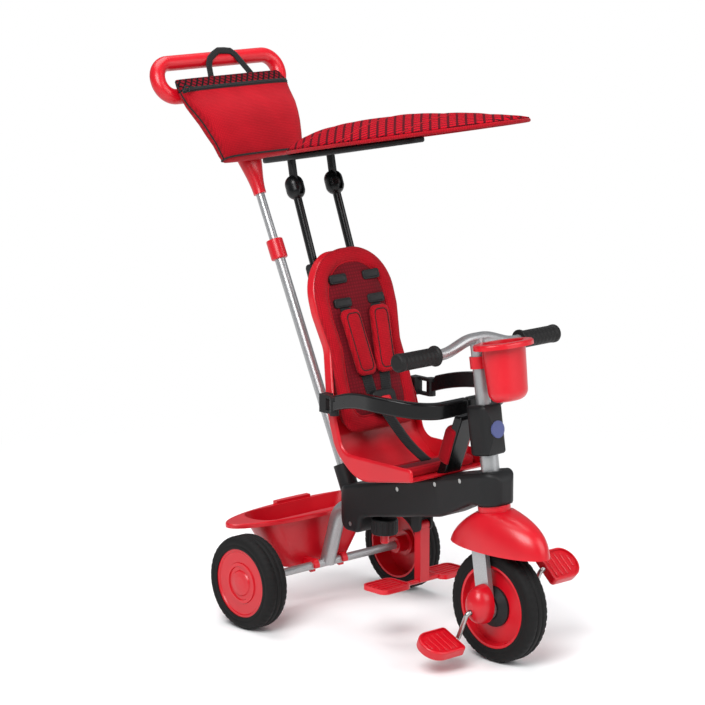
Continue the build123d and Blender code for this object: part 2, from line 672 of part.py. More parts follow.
# Lock knob and its button
knob = upright(KNOB_RADIUS - KNOB_RIB_RADIUS / 2, KNOB_LOW_Z, KNOB_HIGH_Z, KNOB_X)
knob = fillet(knob.edges().filter_by(GeomType.CIRCLE), 3)
for rib in PolarLocations(KNOB_RADIUS - KNOB_RIB_RADIUS, KNOB_RIB_COUNT):
    knob += Pos(KNOB_X, 0, 0) * rib * upright(KNOB_RIB_RADIUS, KNOB_LOW_Z + 4, KNOB_HIGH_Z - 4)
knob += upright(KNOB_STEM_RADIUS, KNOB_HIGH_Z - 1, KNOB_HIGH_Z + KNOB_STEM_LENGTH, KNOB_X)
button_hole_top = KNOB_LOW_Z + BUTTON_DEPTH + BUTTON_TRAVEL + 1
lock_knob = knob - upright(BUTTON_RADIUS + RUNNING, KNOB_LOW_Z - 1, button_hole_top, KNOB_X)
button = upright(BUTTON_RADIUS, KNOB_LOW_Z - BUTTON_DROP, KNOB_LOW_Z + BUTTON_DEPTH, KNOB_X)
release_button = fillet(button.edges().filter_by(GeomType.CIRCLE).group_by(Axis.Z)[0], 3)

# Footrest and its bracket
ear_inner = FOOTREST_EAR_GAP / 2
ear_outer = ear_inner + FOOTREST_EAR_THICKNESS
ear = along_y(FOOTREST_EAR_RADIUS, ear_inner, ear_outer, FOOTREST_PIVOT_X, FOOTREST_PIVOT_Z)
ear += block(
    FOOTREST_PIVOT_X - FOOTREST_EAR_RADIUS, FOOTREST_PIVOT_X + FOOTREST_EAR_RADIUS,
    ear_inner, ear_outer, FOOTREST_PIVOT_Z, FOOTREST_PIVOT_Z + 40,
)
ears = ear + mirror(ear, Plane.XZ)
pin = along_y(FOOTREST_PIN_RADIUS, -ear_outer, ear_outer, FOOTREST_PIVOT_X, FOOTREST_PIVOT_Z)
footrest_bracket = (ears + pin) - body_solid
rod_z = FOOTREST_PAD_Z + FOOTREST_PAD_THICKNESS / 2
arm_half = ear_inner - SEAT_GAP
footrest = along_y(FOOTREST_EAR_RADIUS - 2, -arm_half, arm_half, FOOTREST_PIVOT_X, FOOTREST_PIVOT_Z)
footrest += block(FOOTREST_PIVOT_X - 8, FOOTREST_PIVOT_X + 8, -arm_half, arm_half, rod_z, FOOTREST_PIVOT_Z)
rod_end = FOOTREST_PAD_INNER_Y + FOOTREST_RIM - 0.5
footrest += along_y(FOOTREST_ROD_RADIUS, -rod_end, rod_end, FOOTREST_PIVOT_X, rod_z)
pad_plan = RectangleRounded(FOOTREST_PAD_LENGTH, FOOTREST_PAD_WIDTH, 14)
tread_length = FOOTREST_PAD_LENGTH - 2 * FOOTREST_RIM
tread_plan = RectangleRounded(tread_length, FOOTREST_PAD_WIDTH - 2 * FOOTREST_RIM, 11)
pad = extrude(pad_plan, FOOTREST_PAD_THICKNESS)
pad -= Pos(0, 0, FOOTREST_PAD_THICKNESS - 2.5) * extrude(tread_plan, 10)
pad_middle_y = FOOTREST_PAD_INNER_Y + FOOTREST_PAD_WIDTH / 2
pad = Pos(FOOTREST_PIVOT_X - FOOTREST_PAD_BACK, pad_middle_y, FOOTREST_PAD_Z) * pad
footrest += pad
footrest += mirror(pad, Plane.XZ)
pin_bore = FOOTREST_PIN_RADIUS + RUNNING
footrest -= along_y(pin_bore, -arm_half - 1, arm_half + 1, FOOTREST_PIVOT_X, FOOTREST_PIVOT_Z)

# Rear tub, hung level on the axle


def tub_body(inset, floor_z, top_z):
    """The tapered room of the tub, drawn in all round by an inset."""
    sections = []
    for share, corner in ((0.0, TUB_FLOOR_CORNER), (1.0, TUB_TOP_CORNER)):
        front = TUB_FLOOR_FRONT_X + share * (TUB_TOP_FRONT_X - TUB_FLOOR_FRONT_X) - inset
        rear = TUB_FLOOR_REAR_X + share * (TUB_TOP_REAR_X - TUB_FLOOR_REAR_X) + inset
        half = TUB_FLOOR_HALF_WIDTH + share * (TUB_TOP_HALF_WIDTH - TUB_FLOOR_HALF_WIDTH) - inset
        plan = RectangleRounded(front - rear, 2 * half, corner - inset)
        level = floor_z + share * (top_z - floor_z)
        sections.append(Plane.XY.offset(level) * Pos((front + rear) / 2, 0) * plan)
    return loft(sections, ruled=True)


rim_middle_x = (TUB_TOP_FRONT_X + TUB_TOP_REAR_X) / 2
rim_rear_x = rim_middle_x - TUB_RIM_HALF_LENGTH
rim_under = Pos(rim_middle_x, 0, TUB_RIM_Z - TUB_RIM_SKIRT)
rim_plan = Ellipse(TUB_RIM_HALF_LENGTH, TUB_RIM_HALF_WIDTH)
rim_hollow = Ellipse(TUB_RIM_HALF_LENGTH - TUB_WALL, TUB_RIM_HALF_WIDTH - TUB_WALL)
rim = fillet(extrude(rim_plan, TUB_RIM_SKIRT).edges().group_by(Axis.Z)[-1], TUB_WALL)
tub_grip = extrude(rim_plan, TUB_RIM_SKIRT + TUB_GRIP_HEIGHT) & Pos(-TUB_RIM_HALF_LENGTH, 0, 0) * block(
    0, TUB_GRIP_DEPTH, -TUB_GRIP_HALF_WIDTH, TUB_GRIP_HALF_WIDTH, TUB_RIM_SKIRT - TUB_WALL, 2 * TUB_RIM_SKIRT
)
rim = rim_under * (rim - extrude(rim_hollow, TUB_RIM_SKIRT - TUB_WALL) + tub_grip)
tub = tub_body(0, TUB_FLOOR_Z, TUB_RIM_Z) + rim
tub -= tub_body(TUB_WALL, TUB_FLOOR_Z + TUB_WALL, TUB_RIM_Z + 0.01)
clip_outer = AXLE_TUBE_RADIUS + RUNNING + TUB_CLIP_WALL
for side in (-1, 1):
    clip_from = side * TUB_HINGE_SPACING / 2 - TUB_CLIP_WIDTH / 2
    clip_to = clip_from + TUB_CLIP_WIDTH
    tub += along_y(clip_outer, clip_from, clip_to, 0, REAR_RADIUS)
    tub += block(TUB_FLOOR_FRONT_X - 1, 0, clip_from, clip_to, REAR_RADIUS - 2, REAR_RADIUS + clip_outer - 1)
    tub -= along_y(AXLE_TUBE_RADIUS + RUNNING, clip_from - 1, clip_to + 1, 0, REAR_RADIUS)
    tub -= block(0, 30, clip_from - 1, clip_to + 1, REAR_RADIUS - 30, REAR_RADIUS - 3)
rear_tub = single(tub)

# Seat shell
pan_length = sqrt((SEAT_FRONT_X - SEAT_REAR_X) ** 2 + (SEAT_FRONT_Z - SEAT_REAR_Z) ** 2)
pan_x = (SEAT_FRONT_X - SEAT_REAR_X) / pan_length
pan_z = (SEAT_FRONT_Z - SEAT_REAR_Z) / pan_length
back_length = sqrt((BACK_TOP_X - BACK_LOW_X) ** 2 + (BACK_TOP_Z - BACK_LOW_Z) ** 2)
back_x = (BACK_TOP_X - BACK_LOW_X) / back_length
back_z = (BACK_TOP_Z - BACK_LOW_Z) / back_length
BACK = Plane(origin=(BACK_LOW_X, 0, BACK_LOW_Z), x_dir=(0, 1, 0), z_dir=(back_z, 0, -back_x))
PAN = Plane(origin=(SEAT_REAR_X, 0, SEAT_REAR_Z), x_dir=(0, -1, 0), z_dir=(-pan_z, 0, pan_x))


def on_back(up, out):
    """A point in X and Z, up the back's rear line and out to its front."""
    return (BACK_LOW_X + up * back_x + out * back_z, BACK_LOW_Z + up * back_z - out * back_x)


def on_pan(ahead, up):
    """A point in X and Z, ahead along the pan's underside and up from it."""
    return (SEAT_REAR_X + ahead * pan_x - up * pan_z, SEAT_REAR_Z + ahead * pan_z + up * pan_x)


def back_rear_x(z):
    """Where the back's rear face stands at a height."""
    return BACK_LOW_X + (z - BACK_LOW_Z) * back_x / back_z


side_top_z = SEAT_REAR_Z + SEAT_SIDE_HEIGHT + 4
inner_corner_up = (side_top_z - BACK_LOW_Z + BACK_SIDE_DEPTH * back_x) / back_z
seat_side = [
    on_pan(pan_length, 0), on_pan(0, 0), on_back(0, 0), on_back(back_length, 0),
    on_back(back_length, BACK_SIDE_DEPTH), on_back(inner_corner_up, BACK_SIDE_DEPTH),
    on_pan(pan_length, SEAT_LIP_HEIGHT),
]
seat_top_z = on_back(back_length, BACK_SIDE_DEPTH)[1]


def seat_front(inset):
    """The shell's outline from the front, as a long bar along X."""
    low = SEAT_HALF_WIDTH - inset
    waist = WAIST_HALF_WIDTH - inset
    high = BACK_HALF_WIDTH - inset
    right = [(-low, SEAT_REAR_Z / 2), (-low, WAIST_LOW_Z), (-waist, WAIST_Z), (-high, WAIST_HIGH_Z),
             (-high, seat_top_z - inset)]
    left = [(-across, z) for across, z in reversed(right)]
    radii = [0, 60, 60, 60, BACK_CORNER_RADIUS - inset]
    face = make_face(FilletPolyline(*right, *left, radius=radii + radii[::-1], close=True))
    return extrude(Plane.YZ * face, 3 * WHEELBASE, both=True)


side_radii = [8, SEAT_HEEL_RADIUS, SEAT_HEEL_RADIUS, 10, 10, 30, 8]
seat_outer = side_slab(seat_side, side_radii, SEAT_HALF_WIDTH + 5) & seat_front(0)
seat_outer = fillet(single(seat_outer).edges(), SEAT_EDGE_ROUND)
past_pan = pan_length + SEAT_HALF_WIDTH
past_back = back_length + SEAT_HALF_WIDTH
room_depth = 2 * SEAT_HALF_WIDTH
seat_room = [
    on_pan(past_pan, SEAT_WALL), on_pan(SEAT_WALL / 2, SEAT_WALL), on_back(SEAT_WALL / 2, SEAT_WALL),
    on_back(past_back, SEAT_WALL), on_back(past_back, room_depth), on_pan(past_pan, room_depth),
]
room_heel = SEAT_HEEL_RADIUS - SEAT_WALL
room = side_slab(seat_room, [0, room_heel, room_heel, 0, 0, 0], SEAT_HALF_WIDTH + 5) & seat_front(SEAT_WALL)
seat_shell = seat_outer - room

saddle_rear = (SEAT_SADDLE_REAR_X - SEAT_REAR_X) / pan_x
saddle_front = (SEAT_SADDLE_FRONT_X - SEAT_REAR_X) / pan_x
saddle = side_slab(
    [on_pan(saddle_rear, 0), on_pan(saddle_front, 0), on_pan(saddle_front, -SEAT_SADDLE_DEPTH),
     on_pan(saddle_rear, -SEAT_SADDLE_DEPTH)],
    [0, 0, 0, 0], SEAT_SADDLE_HALF_WIDTH,
)
seat_shell = single(seat_shell + (saddle - body_solid))


def cushion(plane, points, radii, thickness):
    """A crowned pad: its outline drawn in at the back and again towards the crown of the front."""
    low_y = min(p[1] for p in points)
    high_y = max(p[1] for p in points)
    middle_y = (low_y + high_y) / 2
    sections = []
    for share, inset in ((0.0, 3.0), (0.4, 0.0), (0.75, 4.0), (1.0, 12.0)):
        largest = 0.45 * (high_y - low_y - 2 * inset)
        drawn = []
        for across, up in points:
            inward = inset if across < 0 else -inset
            rise = inset if up < middle_y else -inset
            drawn.append((across + inward, up + rise))
        rounds = [min(r - 0.6 * inset, largest) for r in radii]
        outline = FilletPolyline(*drawn, radius=rounds, close=True)
        sections.append(plane.offset(share * thickness) * make_face(outline))
    return loft(sections)


# Pads and harness. The back pad fills the shell and rolls over its rim


def up_back(z):
    """How far up the back's rim a height lies."""
    return (z - BACK_LOW_Z + BACK_SIDE_DEPTH * back_x) / back_z


def back_outline(low, low_half, inset):
    """The back pad's outline from its foot to its round top, drawn in all round by an inset."""
    right = [
        (-low_half, low), (-WAIST_HALF_WIDTH + inset, up_back(WAIST_Z)),
        (-BACK_HALF_WIDTH + inset, up_back(WAIST_HIGH_Z)), (-BACK_HALF_WIDTH + inset, back_length - inset),
    ]
    return right + [(-across, up) for across, up in reversed(right)]


pad_low_half = SEAT_HALF_WIDTH - SEAT_WALL - PAD_SIDE_GAP
pad_inset = SEAT_WALL + PAD_SIDE_GAP
fill_radii = [24, 44, 44, BACK_CORNER_RADIUS - pad_inset]
fill_points = back_outline(BACK_PAD_LOW, pad_low_half, pad_inset)
roll_radii = [24, 44, 44, BACK_CORNER_RADIUS]
roll_points = back_outline(BACK_ROLL_LOW, SEAT_HALF_WIDTH, -BACK_ROLL_OVER)
roll_thickness = SEAT_WALL + BACK_PAD_THICKNESS - BACK_SIDE_DEPTH
back_pad = cushion(
    BACK.offset(SEAT_WALL), fill_points, fill_radii + fill_radii[::-1], BACK_PAD_THICKNESS - BACK_ROLL_PROUD
)
back_pad += cushion(BACK.offset(BACK_SIDE_DEPTH), roll_points, roll_radii + roll_radii[::-1], roll_thickness)
pan_face = PAN.offset(SEAT_WALL)
seat_pad_front = pan_length - POST_FOOT_INSET - SEAT_PAD_FRONT_GAP
seat_pad = cushion(
    pan_face,
    [(-pad_low_half, SEAT_PAD_REAR), (-pad_low_half, seat_pad_front),
     (pad_low_half, seat_pad_front), (pad_low_half, SEAT_PAD_REAR)],
    [24, 30, 30, 24], SEAT_PAD_THICKNESS,
)
strap_face = BACK.offset(SEAT_WALL + BACK_PAD_THICKNESS)
strap = extrude(strap_face * make_face(Polyline(
    (STRAP_TOP_Y - STRAP_WIDTH / 2, STRAP_SLOT_UP), (STRAP_TOP_Y + STRAP_WIDTH / 2, STRAP_SLOT_UP),
    (STRAP_LOW_Y + STRAP_WIDTH / 2, STRAP_END_UP), (STRAP_LOW_Y - STRAP_WIDTH / 2, STRAP_END_UP), close=True,
)), STRAP_THICKNESS)
pad_low = STRAP_SLOT_UP - SHOULDER_PAD_DOWN - SHOULDER_PAD_LENGTH
pad_lean = (STRAP_TOP_Y - STRAP_LOW_Y) / (STRAP_SLOT_UP - STRAP_END_UP)


def shoulder_y(up):
    """Where the strap's middle lies across the back at a height up the back."""
    return STRAP_TOP_Y - pad_lean * (STRAP_SLOT_UP - up)


shoulder_sections = []
for share, inset in ((0.0, 2.0), (0.4, 0.0), (1.0, 7.0)):
    half = SHOULDER_PAD_WIDTH / 2 - inset
    ends = (pad_low + inset, pad_low + SHOULDER_PAD_LENGTH - inset)
    corners = [(shoulder_y(up) + reach, up) for up, reach in
               ((ends[0], -half), (ends[0], half), (ends[1], half), (ends[1], -half))]
    outline = FilletPolyline(*corners, radius=14 - inset, close=True)
    level = STRAP_THICKNESS + share * SHOULDER_PAD_THICKNESS
    shoulder_sections.append(strap_face.offset(level) * make_face(outline))
shoulder_pads = both_sides(loft(shoulder_sections))
buckle_face = strap_face.offset(STRAP_THICKNESS)
buckle_plan = Pos(0, STRAP_END_UP) * RectangleRounded(BUCKLE_WIDTH, BUCKLE_HEIGHT, 12)
harness_buckle = extrude(buckle_face * buckle_plan, BUCKLE_THICKNESS)
harness_buckle = fillet(harness_buckle.faces().sort_by(Axis.X)[-1].edges(), 4)
crotch_start = on_back(STRAP_END_UP - BUCKLE_HEIGHT / 2, SEAT_WALL + BACK_PAD_THICKNESS + STRAP_THICKNESS + 5)
crotch_end = on_pan((SEAT_PAD_REAR + seat_pad_front) / 2, SEAT_WALL + SEAT_PAD_THICKNESS)
crotch_strap = side_slab(
    [crotch_start, crotch_end, (crotch_end[0] + STRAP_THICKNESS * 1.4, crotch_end[1]),
     (crotch_start[0] + STRAP_THICKNESS, crotch_start[1] + 0.4)],
    [0, 0, 0, 0], STRAP_WIDTH / 2,
)
harness_straps = group(strap, mirror(strap, Plane.XZ), crotch_strap - seat_pad)

# Guard arms, their pivots and the post in front of the rider
guard_path = FilletPolyline(
    (GUARD_PIVOT_X, GUARD_PIVOT_Y), (GUARD_SIDE_X, GUARD_SIDE_Y),
    (GUARD_FRONT_X, GUARD_CORNER_Y), (GUARD_FRONT_X, GUARD_SPLIT / 2), radius=GUARD_BEND_RADIUS,
)
guard_plan = extrude(trace(guard_path, GUARD_THICKNESS), 2 * GUARD_MID_Z)


def guard_arc(rise):
    """The arm's line seen from the side, moved up or down."""
    return ThreePointArc(
        (GUARD_PIVOT_X - 20, GUARD_PIVOT_Z - 4 + rise), (GUARD_MID_X, GUARD_MID_Z + rise),
        (GUARD_FRONT_X + 20, GUARD_FRONT_Z - 5 + rise),
    )


high_arc = guard_arc(GUARD_HEIGHT / 2)
low_arc = guard_arc(-GUARD_HEIGHT / 2)
band = make_face([high_arc, Line(high_arc @ 1, low_arc @ 1), low_arc, Line(low_arc @ 0, high_arc @ 0)])
guard_arm = guard_plan & extrude(Plane.XZ * band, 2 * GUARD_PIVOT_Y, both=True)
eye_half = GUARD_HEIGHT / 2 - 4
guard_arm = single(guard_arm)
guard_arm = fillet(guard_arm.edges(), GUARD_EDGE_ROUND)


def at_pivot(radius, low, high):
    """A round bar on the guard's pivot axis, between heights from the pivot's middle."""
    return upright(radius, GUARD_PIVOT_Z + low, GUARD_PIVOT_Z + high, GUARD_PIVOT_X, GUARD_PIVOT_Y)


guard_arm -= at_pivot(GUARD_EYE_RADIUS + 5, eye_half, 60)
guard_arm -= at_pivot(GUARD_EYE_RADIUS + 5, -60, -eye_half)
guard_arm += at_pivot(GUARD_EYE_RADIUS, -eye_half, eye_half)
guard_arm_left = guard_arm - at_pivot(GUARD_PIN_RADIUS + RUNNING, -60, 60)
guard_arm_right = mirror(guard_arm_left, Plane.XZ)

lug_from = eye_half + SEAT_GAP
lug_to = lug_from + GUARD_LUG_THICKNESS
base_x = back_rear_x(GUARD_PIVOT_Z)
bracket = block(base_x + 6, base_x + 24, SEAT_HALF_WIDTH - SEAT_WALL, GUARD_PIVOT_Y,
                GUARD_PIVOT_Z - lug_to, GUARD_PIVOT_Z + lug_to)
for low, high in ((-lug_to, -lug_from), (lug_from, lug_to)):
    bracket += at_pivot(GUARD_EYE_RADIUS, low, high)
    bracket += block(base_x + 20, GUARD_PIVOT_X, GUARD_PIVOT_Y - GUARD_EYE_RADIUS, GUARD_PIVOT_Y,
                     GUARD_PIVOT_Z + low, GUARD_PIVOT_Z + high)
bracket += at_pivot(GUARD_PIN_RADIUS, -lug_to, lug_to)
bracket -= seat_outer
guard_brackets = both_sides(bracket)

post_top = GUARD_FRONT_Z - GUARD_HEIGHT / 2 - POST_TOP_GAP - 2
post_side = [
    on_pan(pan_length - POST_FOOT_INSET - 4, SEAT_WALL), on_pan(pan_length - 4, SEAT_WALL),
    (GUARD_FRONT_X + POST_DEPTH / 2, post_top), (GUARD_FRONT_X - POST_DEPTH / 2, post_top),
]
guard_post = side_slab(post_side, [0, 0, 5, 5], POST_HALF_WIDTH)
post_corners = [edge for edge in guard_post.edges() if edge.length > 2 * POST_HALF_WIDTH + SEAT_GAP]
guard_post = fillet(post_corners, GUARD_EDGE_ROUND)
rear_run = (post_side[3][0] - post_side[0][0], post_side[3][1] - post_side[0][1])
pad_points = []
for share, out in ((0.16, 0.0), (0.9, 0.0), (0.84, -POST_PAD_THICKNESS), (0.24, -POST_PAD_THICKNESS)):
    pad_points.append((post_side[0][0] + share * rear_run[0] + out, post_side[0][1] + share * rear_run[1]))
guard_post_pad = side_slab(pad_points, [0, 0, 6, 6], POST_HALF_WIDTH - 2)

# Sunshade poles, knuckles and their bracket on the back of the seat
POLE = Location((SHADE_PIVOT_X, 0, SHADE_PIVOT_Z), (0, -POLE_LEAN, 0))
pole_length = (SHADE_PIVOT_Z - POLE_FOOT_Z) / cos(radians(POLE_LEAN))
egg_straight = KNUCKLE_HALF_HEIGHT - KNUCKLE_HALF_WIDTH
egg = upright(KNUCKLE_HALF_WIDTH, -egg_straight, egg_straight)
egg += Pos(0, 0, egg_straight) * Sphere(KNUCKLE_HALF_WIDTH)
egg += Pos(0, 0, -egg_straight) * Sphere(KNUCKLE_HALF_WIDTH)
slot_floor = -TONGUE_RADIUS - 2 * TONGUE_SIDE_GAP
slot = block(-40, 40, -KNUCKLE_SLOT / 2, KNUCKLE_SLOT / 2, slot_floor, 40)
pin_half = KNUCKLE_HALF_WIDTH - 2
pole = upright(POLE_RADIUS, -pole_length, slot_floor - 2) + egg - slot
pole += along_y(KNUCKLE_PIN_RADIUS, -pin_half, pin_half)
canopy_poles = both_sides(POLE * Pos(0, SHADE_PIVOT_Y, 0) * pole)


def pole_x(z):
    """Where a pole's middle stands at a height."""
    return SHADE_PIVOT_X + (SHADE_PIVOT_Z - z) * tan(radians(POLE_LEAN))


pole_bracket = side_slab(
    [(back_rear_x(BRACKET_LOW_Z), BRACKET_LOW_Z), (back_rear_x(BRACKET_HIGH_Z), BRACKET_HIGH_Z),
     (pole_x(BRACKET_HIGH_Z) - POLE_RADIUS - BRACKET_WALL, BRACKET_HIGH_Z),
     (pole_x(BRACKET_LOW_Z) - POLE_RADIUS - BRACKET_WALL, BRACKET_LOW_Z)],
    [0, 0, 8, 8], BRACKET_HALF_WIDTH,
)
pole_bracket = fillet(pole_bracket.faces().sort_by(Axis.X)[0].edges(), BRACKET_EDGE_ROUND)
for side in (-1, 1):
    pole_bracket -= POLE * Pos(0, side * SHADE_PIVOT_Y, 0) * upright(POLE_RADIUS, -pole_length, 0)

# Sunshade frame, hoop and cloth
shade_pivot = (SHADE.inverse() * Location((SHADE_PIVOT_X, 0, SHADE_PIVOT_Z))).position
plate_top = -2 * HOOP_RADIUS
plate_outline = FilletPolyline(
    (-PLATE_REAR, -30), (-PLATE_SHOULDER_REAR, -PLATE_HALF_WIDTH), (PLATE_SHOULDER_FRONT, -PLATE_HALF_WIDTH),
    (PLATE_TIP, -PLATE_TIP_HALF_WIDTH), (PLATE_TIP, PLATE_TIP_HALF_WIDTH),
    (PLATE_SHOULDER_FRONT, PLATE_HALF_WIDTH), (-PLATE_SHOULDER_REAR, PLATE_HALF_WIDTH), (-PLATE_REAR, 30),
    radius=[20, 30, 40, 18, 18, 40, 30, 20], close=True,
)
plate = extrude(make_face(plate_outline), PLATE_THICKNESS)
plate = fillet(plate.faces().filter_by(Plane.XY).edges(), PLATE_EDGE_ROUND)
canopy_frame = Pos(0, 0, plate_top - PLATE_THICKNESS) * plate
tongue_half = KNUCKLE_SLOT / 2 - TONGUE_SIDE_GAP
for side in (-1, 1):
    across = side * SHADE_PIVOT_Y
    tongue_from = across - tongue_half
    tongue_to = across + tongue_half
    canopy_frame += along_y(TONGUE_RADIUS, tongue_from, tongue_to, shade_pivot.X, shade_pivot.Z)
    canopy_frame += block(
        shade_pivot.X - ARM_WIDTH / 2, shade_pivot.X + ARM_WIDTH / 2, tongue_from, tongue_to,
        shade_pivot.Z, plate_top - 2,
    )
    canopy_frame += upright(
        ARM_WIDTH / 2, shade_pivot.Z + KNUCKLE_HALF_HEIGHT + 5, plate_top - 2, shade_pivot.X, across
    )
    canopy_frame -= along_y(
        KNUCKLE_PIN_RADIUS + RUNNING, across - 10, across + 10, shade_pivot.X, shade_pivot.Z
    )
canopy_frame = SHADE * canopy_frame
shade_middle = SHADE_LENGTH / 2
hoop_path = Pos(shade_middle, 0, -HOOP_RADIUS) * Ellipse(shade_middle - 4, SHADE_HALF_WIDTH - 2).wire()
canopy_hoop = SHADE * swept(hoop_path, HOOP_RADIUS)


def shade_section(share, crown):
    """A thin arch of cloth across the shade, at a share of its length."""
    along = share * SHADE_LENGTH
    half = SHADE_HALF_WIDTH * sqrt(1 - ((along - shade_middle) / shade_middle) ** 2)
    outer = ThreePointArc((-half, 0), (0, crown), (half, 0))
    inner_half = half - SHADE_CLOTH
    inner = ThreePointArc((-inner_half, 0), (0, crown - SHADE_CLOTH), (inner_half, 0))
    edges = [outer, Line(outer @ 1, inner @ 1), inner, Line(inner @ 0, outer @ 0)]
    return Plane.YZ.offset(along) * make_face(edges)


shade_arches = (
    (0.012, 0.4), (0.06, 0.66), (0.18, 0.89), (0.34, 0.99), (0.52, 0.94),
    (0.68, 0.74), (0.83, 0.43), (0.94, 0.24), (0.988, 0.16),
)
canopy_cloth = SHADE * loft([shade_section(share, rise * SHADE_CROWN) for share, rise in shade_arches])

# Fork, steering tube and fender
leg_inner = FRONT_WIDTH / 2 + FORK_TYRE_GAP
leg_outer = leg_inner + FORK_LEG_THICKNESS
leg_rear = hub_forward - FORK_LEG_WIDTH / 2
leg_front = hub_forward + FORK_LEG_WIDTH / 2
leg = block(leg_rear, leg_front, leg_inner, leg_outer, hub_up, FORK_CROWN_HIGH)
leg += along_y(FORK_END_RADIUS, leg_inner, leg_outer, hub_forward, hub_up)
crown = block(leg_rear, STEER_TUBE_RADIUS + 3, -leg_outer, leg_outer, FORK_CROWN_LOW, FORK_CROWN_HIGH)
fork = leg + mirror(leg, Plane.XZ) + crown
fork -= upright(STEER_TUBE_RADIUS, FORK_CROWN_LOW - 1, FORK_CROWN_HIGH + 1)
fork -= along_y(CRANK_RADIUS + RUNNING, -leg_outer - 1, leg_outer + 1, hub_forward, hub_up)
fork = HEAD * fork
steer_tube = HEAD * (
    upright(STEER_TUBE_RADIUS, FORK_CROWN_LOW, STEER_TUBE_TOP)
    - upright(STEER_TUBE_RADIUS - STEER_TUBE_WALL, FORK_CROWN_LOW - 1, STEER_TUBE_TOP + 1)
)
fender_shape = (
    (1.0, 1.0, 1.0), (0.77, 0.99, 1.0), (0.56, 0.92, 0.975), (0.37, 0.76, 0.92), (0.21, 0.53, 0.82),
)


def fender_dome(inset):
    """The fender's dome, drawn in all round by an inset."""
    sections = [
        (-share * FENDER_DEPTH - inset, length * FENDER_HALF_LENGTH - inset, width * FENDER_HALF_WIDTH - inset)
        for share, length, width in fender_shape
    ]
    sections.append((-10 - inset, FENDER_BASE_RADIUS + 2 - inset, FENDER_BASE_RADIUS - inset))
    return ellipse_loft(sections)


fender_body = fender_dome(0) - fender_dome(FENDER_WALL)
fender_body += upright(FENDER_COLLAR_RADIUS, -14, FENDER_TOP)
fender_body -= upright(STEER_TUBE_RADIUS, -60, 20)
fender_reach = 2 * FENDER_HALF_LENGTH
fender_room = block(
    WHEELBASE - fender_reach, WHEELBASE + fender_reach, -fender_reach, fender_reach,
    FENDER_BRIM_Z, 2 * FENDER_BRIM_Z,
)
fender = single(HEAD * fender_body & fender_room)

# Column clamp with its round plate, upper column and handlebar
clamp = Pos(0, 0, CLAMP_LOW) * extrude(
    RectangleRounded(CLAMP_LENGTH, CLAMP_WIDTH, CLAMP_CORNER), CLAMP_HIGH - CLAMP_LOW
)
clamp_middle = (CLAMP_LOW + CLAMP_HIGH) / 2
curve_x = CLAMP_LENGTH / 2 - CLAMP_FRONT_CURVE
clamp &= along_y(CLAMP_FRONT_CURVE, -CLAMP_WIDTH, CLAMP_WIDTH, curve_x, clamp_middle)
clamp = fillet(clamp.faces().filter_by(Plane.XY).edges(), 7)
clamp -= upright(STEER_TUBE_RADIUS, CLAMP_LOW - 1, STEER_TUBE_TOP)
clamp -= upright(UPPER_COLUMN_RADIUS, STEER_TUBE_TOP - 1, CLAMP_HIGH + 1)
plate_from = CLAMP_LENGTH / 2 + BADGE_PROUD - BADGE_THICKNESS
badge_place = Pos(plate_from + BADGE_THICKNESS / 2, 0, BADGE_UP) * Rot(0, 90, 0)
badge = badge_place * Cylinder(BADGE_RADIUS, BADGE_THICKNESS)
column_clamp = HEAD * (clamp - badge)
clamp_plate = HEAD * badge
bar_low = BAR_CENTRE_UP - BAR_DROP
bar_path = FilletPolyline(
    (0, -BAR_HALF_LENGTH, bar_low), (0, -BAR_SHOULDER_HALF, bar_low), (0, -BAR_FLAT_HALF, BAR_CENTRE_UP),
    (0, BAR_FLAT_HALF, BAR_CENTRE_UP), (0, BAR_SHOULDER_HALF, bar_low), (0, BAR_HALF_LENGTH, bar_low),
    radius=BAR_BEND_RADIUS,
)
bar_solid = swept(bar_path, BAR_RADIUS)
handlebar = HEAD * (bar_solid - swept(bar_path, BAR_RADIUS - TUBE_WALL))
column = upright(UPPER_COLUMN_RADIUS, STEER_TUBE_TOP, BAR_CENTRE_UP)
column -= upright(UPPER_COLUMN_RADIUS - TUBE_WALL, STEER_TUBE_TOP - 1, BAR_CENTRE_UP - BAR_RADIUS - 4)
upper_column = HEAD * single(column - bar_solid)
grip_end = BAR_HALF_LENGTH + GRIP_END_WALL
grip_outline = FilletPolyline(
    (BAR_RADIUS, GRIP_INNER_Y), (GRIP_FLANGE_RADIUS, GRIP_INNER_Y),
    (GRIP_FLANGE_RADIUS, GRIP_INNER_Y + GRIP_FLANGE), (GRIP_RADIUS, GRIP_INNER_Y + GRIP_FLANGE + 3),
    (GRIP_RADIUS, grip_end - 16), (GRIP_END_RADIUS, grip_end - 10), (GRIP_END_RADIUS, grip_end),
    (0, grip_end), (0, BAR_HALF_LENGTH), (BAR_RADIUS, BAR_HALF_LENGTH),
    radius=[0, 2, 2, 2, 4, 4, 6, 0, 0, 0], close=True,
)
grip = Pos(0, 0, bar_low) * revolve(make_face(grip_outline), Axis.Y)
grips = both_sides(HEAD * grip)

# Cup with its rolled lip, held by a collar on the upper column
cup_low = CUP_TOP_UP - CUP_HEIGHT


def cup_body(inset):
    """The cup's tapered body with its rounded heel, drawn in all round by an inset."""
    foot = CUP_TAPER + inset
    body = ellipse_loft([
        (cup_low + inset, CUP_HALF_LENGTH - foot, CUP_HALF_WIDTH - foot),
        (CUP_TOP_UP, CUP_HALF_LENGTH - inset, CUP_HALF_WIDTH - inset),
    ])
    return fillet(body.edges().group_by(Axis.Z)[0], CUP_HEEL_RADIUS - inset)


